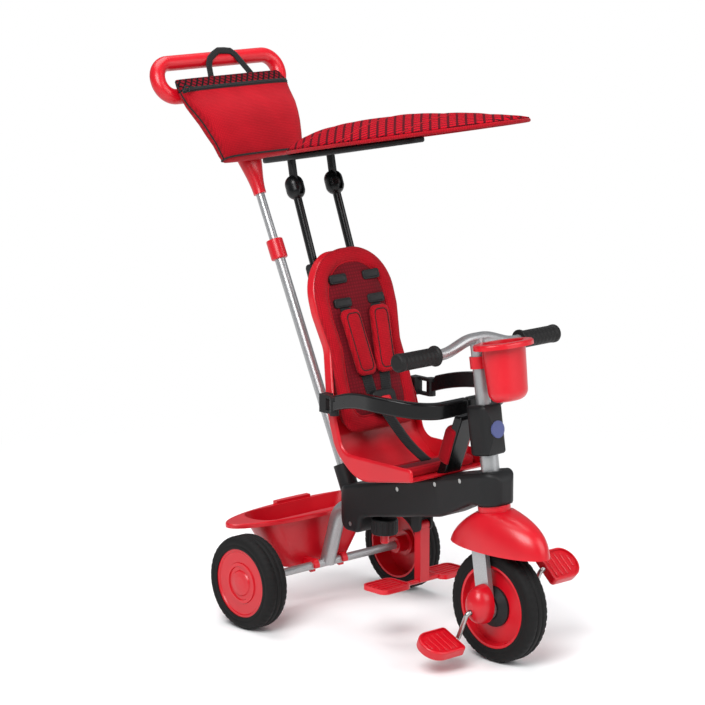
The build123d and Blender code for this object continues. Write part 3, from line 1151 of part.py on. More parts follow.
lip_under = Pos(0, 0, CUP_TOP_UP - CUP_RIM_HEIGHT)
lip = extrude(Ellipse(CUP_RIM_HALF_LENGTH, CUP_RIM_HALF_WIDTH), CUP_RIM_HEIGHT)
lip = fillet(lip.edges().group_by(Axis.Z)[-1], 1.5 * CUP_WALL)
lip_hollow = Ellipse(CUP_RIM_HALF_LENGTH - CUP_WALL, CUP_RIM_HALF_WIDTH - CUP_WALL)
lip -= extrude(lip_hollow, CUP_RIM_HEIGHT - CUP_WALL)
collar_high = CUP_TOP_UP - CUP_COLLAR_DOWN
collar_low = collar_high - CUP_COLLAR_HEIGHT
cup_back = CUP_FORWARD - CUP_HALF_LENGTH
cup = Pos(CUP_FORWARD, 0, 0) * (cup_body(0) + lip_under * lip)
cup += upright(UPPER_COLUMN_RADIUS + CUP_COLLAR_WALL, collar_low, collar_high)
cup += block(0, cup_back + CUP_TAPER, -CUP_WEB_HALF_WIDTH, CUP_WEB_HALF_WIDTH, collar_low, collar_high)
cup -= upright(UPPER_COLUMN_RADIUS, STEER_TUBE_TOP, BAR_CENTRE_UP)
cup -= Pos(CUP_FORWARD, 0, 0.01) * cup_body(CUP_WALL)
front_cup = HEAD * single(cup)

# Front wheel on its bent crank axle
at_hub = Pos(WHEELBASE, 0, FRONT_RADIUS)
front_tyre = at_hub * tyre(FRONT_RADIUS, FRONT_DISC_RADIUS, FRONT_WIDTH)
front_drum = FRONT_DISC_RADIUS - RUNNING
front_face = FRONT_WIDTH / 2 - 2
dish_face = front_face - 9
hub_core = CRANK_RADIUS + 9
front_disc = at_hub * turned([
    (hub_core, -dish_face), (FRONT_HUB_RADIUS + 2, -dish_face), (front_drum - 8, -dish_face + 4),
    (front_drum - 5, -front_face), (front_drum, -front_face), (front_drum, front_face),
    (front_drum - 5, front_face), (front_drum - 8, dish_face - 4), (FRONT_HUB_RADIUS + 2, dish_face),
    (hub_core, dish_face),
])
hub_face = leg_inner - 1.2
front_hub_piece = at_hub * turned([
    (CRANK_RADIUS, -hub_face), (FRONT_HUB_RADIUS - 14, -hub_face), (FRONT_HUB_RADIUS, -dish_face - 5),
    (FRONT_HUB_RADIUS, -dish_face), (hub_core, -dish_face), (hub_core, dish_face),
    (FRONT_HUB_RADIUS, dish_face), (FRONT_HUB_RADIUS, dish_face + 5),
    (FRONT_HUB_RADIUS - 14, hub_face), (CRANK_RADIUS, hub_face),
])
crank_x = CRANK_LENGTH * sin(radians(CRANK_ANGLE))
crank_z = CRANK_LENGTH * cos(radians(CRANK_ANGLE))
spindle_end = PEDAL_INNER_Y + PEDAL_LENGTH - PEDAL_END_WALL - 1
crank_path = FilletPolyline(
    (crank_x, spindle_end, crank_z), (crank_x, CRANK_PLANE_Y, crank_z), (0, CRANK_PLANE_Y, 0),
    (0, -CRANK_PLANE_Y, 0), (-crank_x, -CRANK_PLANE_Y, -crank_z), (-crank_x, -spindle_end, -crank_z),
    radius=CRANK_BEND,
)
crank_axle = at_hub * swept(crank_path, CRANK_RADIUS)

# Hub covers on the fork ends
cover_shape = ((0.0, 1.0), (0.42, 0.95), (0.74, 0.78), (0.93, 0.5), (1.0, 0.26))
cover_sections = [
    Plane.XZ.offset(-leg_outer - share * HUB_COVER_DEPTH)
    * Ellipse(size * HUB_COVER_HALF_LENGTH, size * HUB_COVER_HALF_HEIGHT)
    for share, size in cover_shape
]
hub_cover = Pos(WHEELBASE, 0, FRONT_RADIUS + HUB_COVER_LIFT) * loft(cover_sections)
hub_cover -= along_y(CRANK_RADIUS + 1, 0, CRANK_PLANE_Y, WHEELBASE, FRONT_RADIUS)
hub_covers = both_sides(hub_cover)

# Pedals
half_width = PEDAL_WIDTH / 2
pedal_plan = FilletPolyline(
    (-half_width, 0), (half_width, 0), (half_width, PEDAL_LENGTH), (-half_width, PEDAL_LENGTH),
    radius=[8, 8, half_width - 1, half_width - 1], close=True,
)
pedal_face = make_face(pedal_plan)
pedal = extrude(pedal_face, PEDAL_THICKNESS)
pedal = fillet(pedal.faces().filter_by(Plane.XY).edges(), PEDAL_EDGE_ROUND)
pedal = Pos(0, 0, -PEDAL_THICKNESS / 2) * pedal
recess = extrude(offset(pedal_face, amount=-PEDAL_RIM), PEDAL_RECESS)
pedal -= Pos(0, 0, PEDAL_THICKNESS / 2 - PEDAL_RECESS + 1.5) * recess
pedal -= Pos(0, 0, -PEDAL_THICKNESS / 2 - 1.5) * recess
pedal -= along_y(CRANK_RADIUS + RUNNING, -1, PEDAL_LENGTH - PEDAL_END_WALL)
pedal = Pos(0, PEDAL_INNER_Y, 0) * pedal
left_spindle = Pos(WHEELBASE + crank_x, 0, FRONT_RADIUS + crank_z)
right_spindle = Pos(WHEELBASE - crank_x, 0, FRONT_RADIUS - crank_z)
pedal_left = left_spindle * Rot(0, PEDAL_LEFT_TILT, 0) * pedal
pedal_right = right_spindle * Rot(0, PEDAL_RIGHT_TILT, 0) * mirror(pedal, Plane.XZ)

pieces = {
    "main_frame": main_frame, "head_bushes": head_bushes, "body_left": body_left, "body_right": body_right,
    "body_screws": body_screws, "axle_tube": axle_tube, "axle_rod": axle_rod, "axle_nuts": axle_nuts,
    "rear_tyre_left": rear_tyre_left, "rear_disc_left": rear_disc_left, "rear_cap_left": rear_cap_left,
    "rear_tyre_right": rear_tyre_right, "rear_disc_right": rear_disc_right, "rear_cap_right": rear_cap_right,
    "handle_socket": handle_socket, "handle_lower_tube": handle_lower_tube, "handle_collar": handle_collar,
    "handle_upper_tube": handle_upper_tube, "handle_loop": handle_loop, "handle_bag": handle_bag,
    "bag_strap": bag_strap, "zip_puller": zip_puller,
    "lock_knob": lock_knob, "release_button": release_button,
    "footrest_bracket": footrest_bracket, "footrest": footrest, "rear_tub": rear_tub,
    "seat_shell": seat_shell, "back_pad": back_pad, "seat_pad": seat_pad,
    "harness_straps": harness_straps, "shoulder_pads": shoulder_pads, "harness_buckle": harness_buckle,
    "guard_arm_left": guard_arm_left, "guard_arm_right": guard_arm_right,
    "guard_brackets": guard_brackets, "guard_post": guard_post, "guard_post_pad": guard_post_pad,
    "pole_bracket": pole_bracket, "canopy_poles": canopy_poles,
    "canopy_frame": canopy_frame, "canopy_hoop": canopy_hoop, "canopy_cloth": canopy_cloth,
    "fork": fork, "steer_tube": steer_tube, "fender": fender, "column_clamp": column_clamp,
    "clamp_plate": clamp_plate, "upper_column": upper_column, "handlebar": handlebar,
    "grips": grips, "front_cup": front_cup, "hub_covers": hub_covers,
    "front_tyre": front_tyre, "front_disc": front_disc, "front_hub": front_hub_piece,
    "crank_axle": crank_axle, "pedal_left": pedal_left, "pedal_right": pedal_right,
}
os.makedirs("parts", exist_ok=True)
to_middle = Pos(-MIDDLE_X, 0, 0)
for name, shape in pieces.items():
    moved = [to_middle * solid for solid in shape.solids()]
    export_step(moved[0] if len(moved) == 1 else Compound(children=moved), f"parts/{name}.step")
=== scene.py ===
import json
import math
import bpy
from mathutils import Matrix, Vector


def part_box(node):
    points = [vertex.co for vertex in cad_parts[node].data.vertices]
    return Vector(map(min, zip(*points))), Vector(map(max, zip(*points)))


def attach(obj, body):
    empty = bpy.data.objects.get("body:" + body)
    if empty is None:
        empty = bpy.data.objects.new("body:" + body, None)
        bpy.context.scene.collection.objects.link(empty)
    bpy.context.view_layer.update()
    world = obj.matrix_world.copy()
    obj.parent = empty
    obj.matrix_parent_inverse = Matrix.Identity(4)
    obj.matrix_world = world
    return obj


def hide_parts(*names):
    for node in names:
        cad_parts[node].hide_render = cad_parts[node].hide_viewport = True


bl_info = {
    "name": "Children's Tricycle",
    "version": (1, 0, 0),
    "blender": (4, 5, 0),
    "location": "3D View > Sidebar > Tricycle",
    "description": (
        "Dresses a push-along children's tricycle: cloth, webbing, tyres, treads, finishes and a studio"
    ),
    "category": "Object",
}

import bmesh
import bpy
from mathutils import Matrix, Vector

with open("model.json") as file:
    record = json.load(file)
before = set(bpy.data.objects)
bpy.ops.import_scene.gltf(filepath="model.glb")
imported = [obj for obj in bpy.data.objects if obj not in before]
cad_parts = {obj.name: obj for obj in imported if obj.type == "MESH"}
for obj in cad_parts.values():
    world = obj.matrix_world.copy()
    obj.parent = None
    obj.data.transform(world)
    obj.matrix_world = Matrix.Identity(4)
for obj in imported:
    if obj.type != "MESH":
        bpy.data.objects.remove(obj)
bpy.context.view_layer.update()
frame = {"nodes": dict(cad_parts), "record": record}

# Sizes are in millimetres. Along X they run from the rear axle, and the frame's origin is MIDDLE_X ahead of it
MM = 0.001
MIDDLE_X = 115.0

# The lines that the seat, the push handle and the shade lean along
BACK_LOW = Vector((140.0, 0.0, 352.0))
BACK_TOP = Vector((25.0, 0.0, 706.0))
PAN_REAR = Vector((200.0, 0.0, 304.0))
PAN_FRONT = Vector((350.0, 0.0, 330.0))
HANDLE_FOOT = Vector((61.0, 0.0, 257.0))
HANDLE_LEAN = math.radians(25.4)
SHADE_REAR = Vector((-58.0, 0.0, 892.0))
SHADE_RISE = math.radians(11.0)

# Heights above the seat shell's outside, where the pads start and where the back pad's face is
SEAT_WALL = 4.0
BACK_PAD_FACE = SEAT_WALL + 32.6


def leaning(origin, across, out):
    """A frame whose Z stands out of a surface and whose X runs across it, from millimetres to metres."""
    side = Vector(across).normalized()
    normal = Vector(out).normalized()
    up = normal.cross(side)
    turn = Matrix((side, up, normal)).transposed().to_4x4()
    place = Matrix.Translation((Vector(origin) - Vector((MIDDLE_X, 0, 0))) * MM)
    return place @ turn @ Matrix.Scale(MM, 4)


back_run = (BACK_TOP - BACK_LOW).normalized()
pan_run = (PAN_FRONT - PAN_REAR).normalized()
BACK = leaning(BACK_LOW, (0, 1, 0), (back_run.z, 0, -back_run.x))
PAN = leaning(PAN_REAR, (0, -1, 0), (-pan_run.z, 0, pan_run.x))
HANDLE = leaning(HANDLE_FOOT, (0, 1, 0), (math.cos(HANDLE_LEAN), 0, math.sin(HANDLE_LEAN)))
SHADE = leaning(SHADE_REAR, (0, 1, 0), (-math.sin(SHADE_RISE), 0, math.cos(SHADE_RISE)))


class TricycleColours(bpy.types.PropertyGroup):
    red_plastic: bpy.props.StringProperty(
        name="Red plastic", description="Moulded red of the fender, tub, discs and loop", default="#C20A1C"
    )
    black_plastic: bpy.props.StringProperty(
        name="Black plastic", description="Grained black of the body covers and the clamp", default="#141415"
    )
    polished_black: bpy.props.StringProperty(
        name="Polished black", description="Smooth black of the shade's poles and the guard", default="#0B0B0C"
    )
    silver: bpy.props.StringProperty(
        name="Silver paint", description="Powder coat on the tubes", default="#ABACAD"
    )
    steel: bpy.props.StringProperty(
        name="Steel", description="Zinc plate on the small steel pieces", default="#B4B4B2"
    )
    tyre: bpy.props.StringProperty(
        name="Tyre", description="Black of the foam tyres and the grips", default="#0E0D0D"
    )
    cloth_red: bpy.props.StringProperty(
        name="Red cloth", description="Bag and pad cloth", default="#B00A1C"
    )
    panel_red: bpy.props.StringProperty(
        name="Dark red cloth", description="Coarse cloth on the seat's inner panels", default="#6E0A18"
    )
    shade_red: bpy.props.StringProperty(
        name="Shade cloth", description="Red of the sunshade", default="#A8081C"
    )
    shade_net: bpy.props.StringProperty(
        name="Shade net", description="Dark net over the sunshade", default="#4A0812"
    )
    webbing: bpy.props.StringProperty(
        name="Webbing", description="Black straps and piping", default="#0F0F10"
    )
    plate: bpy.props.StringProperty(
        name="Round plate", description="Plain disc on the column", default="#454C78"
    )
    floor: bpy.props.StringProperty(
        name="Floor", description="Pale studio floor", default="#F4F4F4"
    )


class TricycleSizes(bpy.types.PropertyGroup):
    piping: bpy.props.FloatProperty(
        name="Piping", description="Radius of the sewn piping",
        default=0.0018, min=0.0005, max=0.005, precision=4, unit="LENGTH",
    )
    net_spacing: bpy.props.FloatProperty(
        name="Net spacing", description="Distance between the shade net's lines",
        default=0.016, min=0.004, max=0.08, precision=4, unit="LENGTH",
    )
    weave: bpy.props.FloatProperty(
        name="Weave", description="Distance between the cloth's drawn threads",
        default=0.0032, min=0.0006, max=0.012, precision=4, unit="LENGTH",
    )
    tread_blocks: bpy.props.IntProperty(
        name="Tread blocks", description="Blocks round each tyre's shoulder", default=44, min=12, max=90
    )


def linear(hex_text):
    """An sRGB hex colour as linear red, green, blue and alpha."""
    digits = hex_text.lstrip("#")
    shares = [int(digits[i:i + 2], 16) / 255 for i in (0, 2, 4)]
    return [s / 12.92 if s <= 0.04045 else ((s + 0.055) / 1.055) ** 2.4 for s in shares] + [1.0]


def shaded(colour, share):
    """A linear colour made darker or lighter by a share."""
    return [min(1.0, c * share) for c in colour[:3]] + [1.0]


def add_node(tree, kind, values=None, links=None, stops=(), **settings):
    """Adds a node with its settings, its input values, the outputs that feed it and a ramp's two stops."""
    made = tree.nodes.new(kind)
    for key, value in settings.items():
        setattr(made, key, value)
    for key, value in (values or {}).items():
        made.inputs[key].default_value = value
    for key, source in (links or {}).items():
        tree.links.new(source, made.inputs[key])
    for number, (place, colour) in enumerate(stops):
        element = made.color_ramp.elements[number]
        element.position = place
        element.color = colour
    return made


def new_material(name):
    """A node material with nothing but its coordinates: the material, its tree and those coordinates."""
    material = bpy.data.materials.new(name)
    material.use_nodes = True
    tree = material.node_tree
    tree.nodes.clear()
    return material, tree, add_node(tree, "ShaderNodeTexCoord").outputs


def finish_material(material, values, links):
    """Ends a material's tree with its surface shader."""
    tree = material.node_tree
    shader = add_node(tree, "ShaderNodeBsdfPrincipled", values, links)
    add_node(tree, "ShaderNodeOutputMaterial", links={"Surface": shader.outputs["BSDF"]})
    return material


def per_mm(spacing):
    """Repeats per metre of a pattern with this spacing in millimetres."""
    return 1000.0 / spacing


def wave_scale(spacing):
    """The wave texture's scale for bands this many millimetres apart: it turns 20 radians in a unit."""
    return per_mm(spacing) * math.tau / 20


def moulded_plastic(name, hex_text, roughness, grain_mm, grain_depth, wear, shine=0.5):
    """Injection-moulded plastic: even colour, soft flow marks, rubbed edges and the tool's grain."""
    material, tree, at = new_material(name)
    colour = linear(hex_text)
    flow = add_node(
        tree, "ShaderNodeTexNoise", {"Scale": per_mm(90), "Detail": 3.0}, {"Vector": at["Object"]}
    )
    grain = add_node(
        tree, "ShaderNodeTexNoise", {"Scale": per_mm(grain_mm), "Detail": 2.0}, {"Vector": at["Object"]}
    )
    edges = add_node(tree, "ShaderNodeNewGeometry")
    body = add_node(
        tree, "ShaderNodeValToRGB", links={"Fac": flow.outputs["Fac"]},
        stops=[(0.25, shaded(colour, 0.9)), (0.75, shaded(colour, 1.08))],
    )
    rubbed = add_node(
        tree, "ShaderNodeMapRange", {"From Min": 0.52, "From Max": 0.62, "To Max": wear},
        {"Value": edges.outputs["Pointiness"]},
    )
    mixed = add_node(
        tree, "ShaderNodeMix", {"B": shaded(colour, 1.7)},
        {"Factor": rubbed.outputs["Result"], "A": body.outputs["Color"]}, data_type="RGBA",
    )
    rough = add_node(
        tree, "ShaderNodeMapRange", {"To Min": roughness - 0.06, "To Max": roughness + 0.08},
        {"Value": flow.outputs["Fac"]},
    )
    bump = add_node(
        tree, "ShaderNodeBump", {"Strength": 0.35, "Distance": grain_depth * MM},
        {"Height": grain.outputs["Fac"]},
    )
    return finish_material(material, {"Specular IOR Level": shine}, {
        "Base Color": mixed.outputs["Result"],
        "Roughness": rough.outputs["Result"],
        "Normal": bump.outputs["Normal"],
    })


def powder_coat(name, hex_text):
    """Silver powder coat on steel tube: a metal-flake film with a faint orange peel."""
    material, tree, at = new_material(name)
    colour = linear(hex_text)
    flakes = add_node(
        tree, "ShaderNodeTexNoise", {"Scale": per_mm(1.4), "Detail": 2.0}, {"Vector": at["Object"]}
    )
    peel = add_node(tree, "ShaderNodeTexNoise", {"Scale": per_mm(5)}, {"Vector": at["Object"]})
    body = add_node(
        tree, "ShaderNodeValToRGB", links={"Fac": flakes.outputs["Fac"]},
        stops=[(0.3, shaded(colour, 0.84)), (0.7, shaded(colour, 1.12))],
    )
    rough = add_node(
        tree, "ShaderNodeMapRange", {"To Min": 0.28, "To Max": 0.44}, {"Value": flakes.outputs["Fac"]}
    )
    bump = add_node(
        tree, "ShaderNodeBump", {"Strength": 0.25, "Distance": 0.1 * MM}, {"Height": peel.outputs["Fac"]}
    )
    return finish_material(material, {"Metallic": 0.75}, {
        "Base Color": body.outputs["Color"],
        "Roughness": rough.outputs["Result"],
        "Normal": bump.outputs["Normal"],
    })


def zinc_steel(name, hex_text):
    """Zinc-plated steel wire and nuts: bright, with drawn streaks."""
    material, tree, at = new_material(name)
    colour = linear(hex_text)
    stretched = add_node(tree, "ShaderNodeMapping", {"Scale": (1.0, 0.12, 1.0)}, {"Vector": at["Object"]})
    streaks = add_node(
        tree, "ShaderNodeTexNoise", {"Scale": per_mm(1.2), "Detail": 3.0},
        {"Vector": stretched.outputs["Vector"]},
    )
    body = add_node(
        tree, "ShaderNodeValToRGB", links={"Fac": streaks.outputs["Fac"]},
        stops=[(0.3, shaded(colour, 0.8)), (0.7, shaded(colour, 1.1))],
    )
    rough = add_node(
        tree, "ShaderNodeMapRange", {"To Min": 0.22, "To Max": 0.42}, {"Value": streaks.outputs["Fac"]}
    )
    return finish_material(material, {"Metallic": 1.0}, {
        "Base Color": body.outputs["Color"],
        "Roughness": rough.outputs["Result"],
    })


def foam_rubber(name, hex_text):
    """Closed-cell foam tyre: matt black with fine pores and dusty high spots."""
    material, tree, at = new_material(name)
    colour = linear(hex_text)
    pores = add_node(tree, "ShaderNodeTexVoronoi", {"Scale": per_mm(1.6)}, {"Vector": at["Object"]})
    dust = add_node(
        tree, "ShaderNodeTexNoise", {"Scale": per_mm(45), "Detail": 5.0}, {"Vector": at["Object"]}
    )
    body = add_node(
        tree, "ShaderNodeValToRGB", links={"Fac": dust.outputs["Fac"]},
        stops=[(0.42, colour), (0.78, shaded(colour, 1.7))],
    )
    bump = add_node(
        tree, "ShaderNodeBump", {"Strength": 0.3, "Distance": 0.2 * MM}, {"Height": pores.outputs["Distance"]}
    )
    rough = add_node(
        tree, "ShaderNodeMapRange", {"To Min": 0.62, "To Max": 0.85}, {"Value": dust.outputs["Fac"]}
    )
    return finish_material(material, {"Specular IOR Level": 0.25}, {
        "Base Color": body.outputs["Color"],
        "Roughness": rough.outputs["Result"],
        "Normal": bump.outputs["Normal"],
    })


def ribbed_rubber(name, hex_text, rib_mm):
    """Soft moulded grip rubber with raised rings along the bar."""
    material, tree, at = new_material(name)
    colour = linear(hex_text)
    rings = add_node(
        tree, "ShaderNodeTexWave", {"Scale": wave_scale(rib_mm)}, {"Vector": at["Object"]},
        bands_direction="Y",
    )
    skin_grain = add_node(
        tree, "ShaderNodeTexNoise", {"Scale": per_mm(1.5), "Detail": 2.0}, {"Vector": at["Object"]}
    )
    body = add_node(
        tree, "ShaderNodeValToRGB", links={"Fac": skin_grain.outputs["Fac"]},
        stops=[(0.3, shaded(colour, 0.85)), (0.7, shaded(colour, 1.35))],
    )
    bump = add_node(
        tree, "ShaderNodeBump", {"Strength": 0.6, "Distance": 0.8 * MM}, {"Height": rings.outputs["Fac"]}
    )
    return finish_material(material, {"Roughness": 0.6, "Specular IOR Level": 0.3}, {
        "Base Color": body.outputs["Color"],
        "Normal": bump.outputs["Normal"],
    })


def woven_cloth(name, hex_text, thread_mm):
    """Woven polyester: crossing threads, drawn coarse enough to show, cloudy dye and a soft sheen."""
    material, tree, at = new_material(name)
    colour = linear(hex_text)
    warp, weft = (
        add_node(
            tree, "ShaderNodeTexWave", {"Scale": wave_scale(thread_mm)}, {"Vector": at["UV"]},
            bands_direction=direction,
        )
        for direction in ("X", "Y")
    )
    cross = add_node(
        tree, "ShaderNodeMath", links={0: warp.outputs["Fac"], 1: weft.outputs["Fac"]}, operation="MULTIPLY"
    )
    cloud = add_node(
        tree, "ShaderNodeTexNoise", {"Scale": per_mm(60), "Detail": 4.0}, {"Vector": at["Object"]}
    )
    tint = add_node(
        tree, "ShaderNodeValToRGB", links={"Fac": cloud.outputs["Fac"]},
        stops=[(0.3, shaded(colour, 0.86)), (0.7, shaded(colour, 1.1))],
    )
    threads = add_node(
        tree, "ShaderNodeValToRGB", links={"Fac": cross.outputs["Value"]},
        stops=[(0.0, (0.62, 0.62, 0.62, 1)), (0.7, (1, 1, 1, 1))],
    )
    body = add_node(
        tree, "ShaderNodeMix", {"Factor": 1.0}, {"A": tint.outputs["Color"], "B": threads.outputs["Color"]},
        data_type="RGBA", blend_type="MULTIPLY",
    )
    folds = add_node(
        tree, "ShaderNodeTexNoise", {"Scale": per_mm(38), "Detail": 2.0}, {"Vector": at["Object"]}
    )
    soft = add_node(
        tree, "ShaderNodeBump", {"Strength": 0.35, "Distance": 3.0 * MM}, {"Height": folds.outputs["Fac"]}
    )
    bump = add_node(
        tree, "ShaderNodeBump", {"Strength": 0.5, "Distance": 0.4 * MM},
        {"Height": cross.outputs["Value"], "Normal": soft.outputs["Normal"]},
    )
    return finish_material(
        material,
        {"Roughness": 0.78, "Sheen Weight": 0.05, "Sheen Roughness": 0.5, "Specular IOR Level": 0.1},
        {"Base Color": body.outputs["Result"], "Normal": bump.outputs["Normal"]},
    )


def netted_cloth(name, hex_text, net_hex, net_mm, line_share):
    """Polyester under a knitted net: dark lines that cross aslant on coloured cloth."""
    material, tree, at = new_material(name)
    turned = add_node(
        tree, "ShaderNodeMapping", {"Rotation": (0, 0, math.radians(45))}, {"Vector": at["UV"]}
    )
    one, two = (
        add_node(
            tree, "ShaderNodeTexWave", {"Scale": wave_scale(net_mm)}, {"Vector": turned.outputs["Vector"]},
            bands_direction=direction,
        )
        for direction in ("X", "Y")
    )
    lines = add_node(
        tree, "ShaderNodeMath", links={0: one.outputs["Fac"], 1: two.outputs["Fac"]}, operation="MAXIMUM"
    )
    body = add_node(
        tree, "ShaderNodeValToRGB", links={"Fac": lines.outputs["Value"]},
        stops=[(1.0 - line_share, linear(hex_text)), (1.0 - 0.5 * line_share, linear(net_hex))],
    )
    folds = add_node(
        tree, "ShaderNodeTexNoise", {"Scale": per_mm(70), "Detail": 2.0}, {"Vector": at["Object"]}
    )
    soft = add_node(
        tree, "ShaderNodeBump", {"Strength": 0.25, "Distance": 3.0 * MM}, {"Height": folds.outputs["Fac"]}
    )
    bump = add_node(
        tree, "ShaderNodeBump", {"Strength": 0.4, "Distance": 0.5 * MM},
        {"Height": lines.outputs["Value"], "Normal": soft.outputs["Normal"]},
    )
    return finish_material(material, {"Roughness": 0.8, "Specular IOR Level": 0.05}, {
        "Base Color": body.outputs["Color"],
        "Normal": bump.outputs["Normal"],
    })


def woven_webbing(name, hex_text, rib_mm):
    """Flat polyester webbing: a dull sheen and ribs across the strap, drawn coarse enough to show."""
    material, tree, at = new_material(name)
    colour = linear(hex_text)
    ribs = add_node(
        tree, "ShaderNodeTexWave", {"Scale": wave_scale(rib_mm), "Distortion": 0.6}, {"Vector": at["UV"]},
        bands_direction="Y",
    )
    body = add_node(
        tree, "ShaderNodeValToRGB", links={"Fac": ribs.outputs["Fac"]},
        stops=[(0.0, shaded(colour, 0.7)), (0.8, shaded(colour, 2.0))],
    )
    bump = add_node(
        tree, "ShaderNodeBump", {"Strength": 0.6, "Distance": 0.4 * MM}, {"Height": ribs.outputs["Fac"]}
    )
    return finish_material(material, {"Roughness": 0.7, "Sheen Weight": 0.06, "Specular IOR Level": 0.25}, {
        "Base Color": body.outputs["Color"],
        "Normal": bump.outputs["Normal"],
    })


FINISHES = {}
POLISHED_NODES = ("canopy_poles", "guard_arm_left", "guard_arm_right", "guard_post")


def make_finishes(colours, sizes):
    """Makes all the tricycle's materials, by the finish's name."""
    thread = sizes.weave / MM
    FINISHES["red_plastic"] = moulded_plastic(
        "moulded red ABS", colours.red_plastic, roughness=0.3, grain_mm=1.2, grain_depth=0.03, wear=0.15
    )
    FINISHES["black_plastic"] = moulded_plastic(
        "grained black polypropylene", colours.black_plastic,
        roughness=0.5, grain_mm=0.9, grain_depth=0.12, wear=0.35, shine=0.3,
    )
    FINISHES["polished_black"] = moulded_plastic(
        "polished black nylon", colours.polished_black,
        roughness=0.24, grain_mm=1.5, grain_depth=0.02, wear=0.2, shine=0.3,
    )
    FINISHES["blue_plastic"] = moulded_plastic(
        "plain blue ABS", colours.plate, roughness=0.3, grain_mm=1.2, grain_depth=0.02, wear=0.2
    )
    FINISHES["silver_tube"] = powder_coat("silver powder coat", colours.silver)
    FINISHES["steel"] = zinc_steel("zinc-plated steel", colours.steel)
    FINISHES["tyre"] = foam_rubber("black foam tyre", colours.tyre)
    FINISHES["grip_rubber"] = ribbed_rubber("ribbed grip rubber", colours.tyre, rib_mm=10.0)
    FINISHES["red_cloth"] = woven_cloth("red polyester cloth", colours.cloth_red, thread)
    FINISHES["panel_cloth"] = woven_cloth("dark red polyester cloth", colours.panel_red, 2 * thread)
    # The gusset's dark net is its print. Its base takes the dark panel red, which is painted shade on the
    # bag's red cloth
    FINISHES["gusset_cloth"] = netted_cloth(
        "bag gusset mesh with painted shade", colours.panel_red, colours.webbing, net_mm=10.0, line_share=0.35
    )
    FINISHES["mesh_cloth"] = netted_cloth(
        "netted shade cloth", colours.shade_red, colours.shade_net, sizes.net_spacing / MM, line_share=0.25
    )
    FINISHES["webbing"] = woven_webbing("black webbing", colours.webbing, rib_mm=4.0)


def dress(piece, finish, body):
    """Gives a piece its material, unless it has one already, and its body."""
    if not piece.data.materials:
        piece.data.materials.append(FINISHES[finish])
    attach(piece, body)
    return piece


def put_in_scene(name, data):
    """A new object with this mesh, curve, lamp or camera, in the scene."""
    made = bpy.data.objects.new(name, data)
    bpy.context.scene.collection.objects.link(made)
    return made


def skin(name, rows, charts, ring=False, capped=False):
    """A smooth quad skin through rows of points. Charts give each point's cloth coordinates in metres."""
    shape = bmesh.new()
    lines = [[shape.verts.new(point) for point in row] for row in rows]
    layer = shape.loops.layers.uv.new("cloth")
    flat = {}
    for line, chart in zip(lines, charts):
        flat.update(zip(line, chart))
    count = len(rows[0])
    steps = count if ring else count - 1
    for low, high in zip(lines[:-1], lines[1:]):
        for i in range(steps):
            j = (i + 1) % count
            shape.faces.new((low[i], low[j], high[j], high[i]))
    for line in (lines[0], lines[-1]) if capped else ():
        middle = shape.verts.new(sum((v.co for v in line), Vector()) / count)
        flat[middle] = tuple(sum(flat[v][k] for v in line) / count for k in (0, 1))
        for i in range(count):
            shape.faces.new((line[i], line[(i + 1) % count], middle))
    bmesh.ops.recalc_face_normals(shape, faces=shape.faces)
    for face in shape.faces:
        face.smooth = True
        for loop in face.loops:
            loop[layer].uv = flat[loop.vert]
    mesh = bpy.data.meshes.new(name)
    shape.to_mesh(mesh)
    shape.free()
    return put_in_scene(name, mesh)


def rounded_outline(corners, radii, step):
    """Points round a closed outline with rounded corners, about a step apart."""
    count = len(corners)
    arcs = []
    for i, corner in enumerate(corners):
        here = Vector(corner)
        before = (Vector(corners[i - 1]) - here).normalized()
        after = (Vector(corners[(i + 1) % count]) - here).normalized()
        half = before.angle(after) / 2
        run = radii[i] / math.tan(half)
        centre = here + (before + after).normalized() * (radii[i] / math.sin(half))
        arcs.append((here + before * run, here + after * run, centre, radii[i]))
    points = []
    for i, (start, end, centre, radius) in enumerate(arcs):
        first = start - centre
        turn = first.angle_signed(end - centre)
        pieces = max(3, int(abs(turn) * radius / step))
        for k in range(pieces):
            points.append(centre + Matrix.Rotation(-turn * k / pieces, 2) @ first)
        onward = arcs[(i + 1) % count][0] - end
        pieces = max(1, int(onward.length / step))
        for k in range(pieces):
            points.append(end + onward * (k / pieces))
    return points


def rounded_box(low, high, radii, step):
    """Points round a box between two corners, with a radius for each of its four corners."""
    return rounded_outline([low, (high[0], low[1]), high, (low[0], high[1])], radii, step)


def drawn_in(outline, inset):
    """An outline drawn in towards its middle, by the inset at its furthest points."""
    low = Vector((min(p.x for p in outline), min(p.y for p in outline)))
    high = Vector((max(p.x for p in outline), max(p.y for p in outline)))
    middle = (low + high) / 2
    reach = (high - low) / 2
    across = 1 - inset / reach.x
    along = 1 - inset / reach.y
    return [
        (middle.x + (p.x - middle.x) * across, middle.y + (p.y - middle.y) * along) for p in outline
    ]


def ring_on(plane, outline, inset, height):
    """One ring of a pad: its outline drawn in and raised."""
    return [plane @ Vector((x, y, height)) for x, y in drawn_in(outline, inset)]


def pad(name, plane, outline, profile, base):
    """A crowned pad of rings on its outline. Its profile gives each ring's inset and height over the base."""
    rows = [ring_on(plane, outline, inset, base + height) for inset, height in profile]
    charts = [[(x * MM, y * MM) for x, y in drawn_in(outline, inset)] for inset, height in profile]
    return skin(name, rows, charts, ring=True, capped=True)


def piping(name, points, radius, closed):
    """A sewn bead of cord along points, as a smooth curve."""
    curve = bpy.data.curves.new(name, "CURVE")
    curve.dimensions = "3D"
    curve.bevel_depth = radius * MM
    curve.bevel_resolution = 3
    line = curve.splines.new("NURBS")
    line.points.add(len(points) - 1)
    for spot, point in zip(line.points, points):
        spot.co = (*point, 1.0)
    line.order_u = 3
    line.use_cyclic_u = closed
    line.use_endpoint_u = not closed
    return put_in_scene(name, curve)


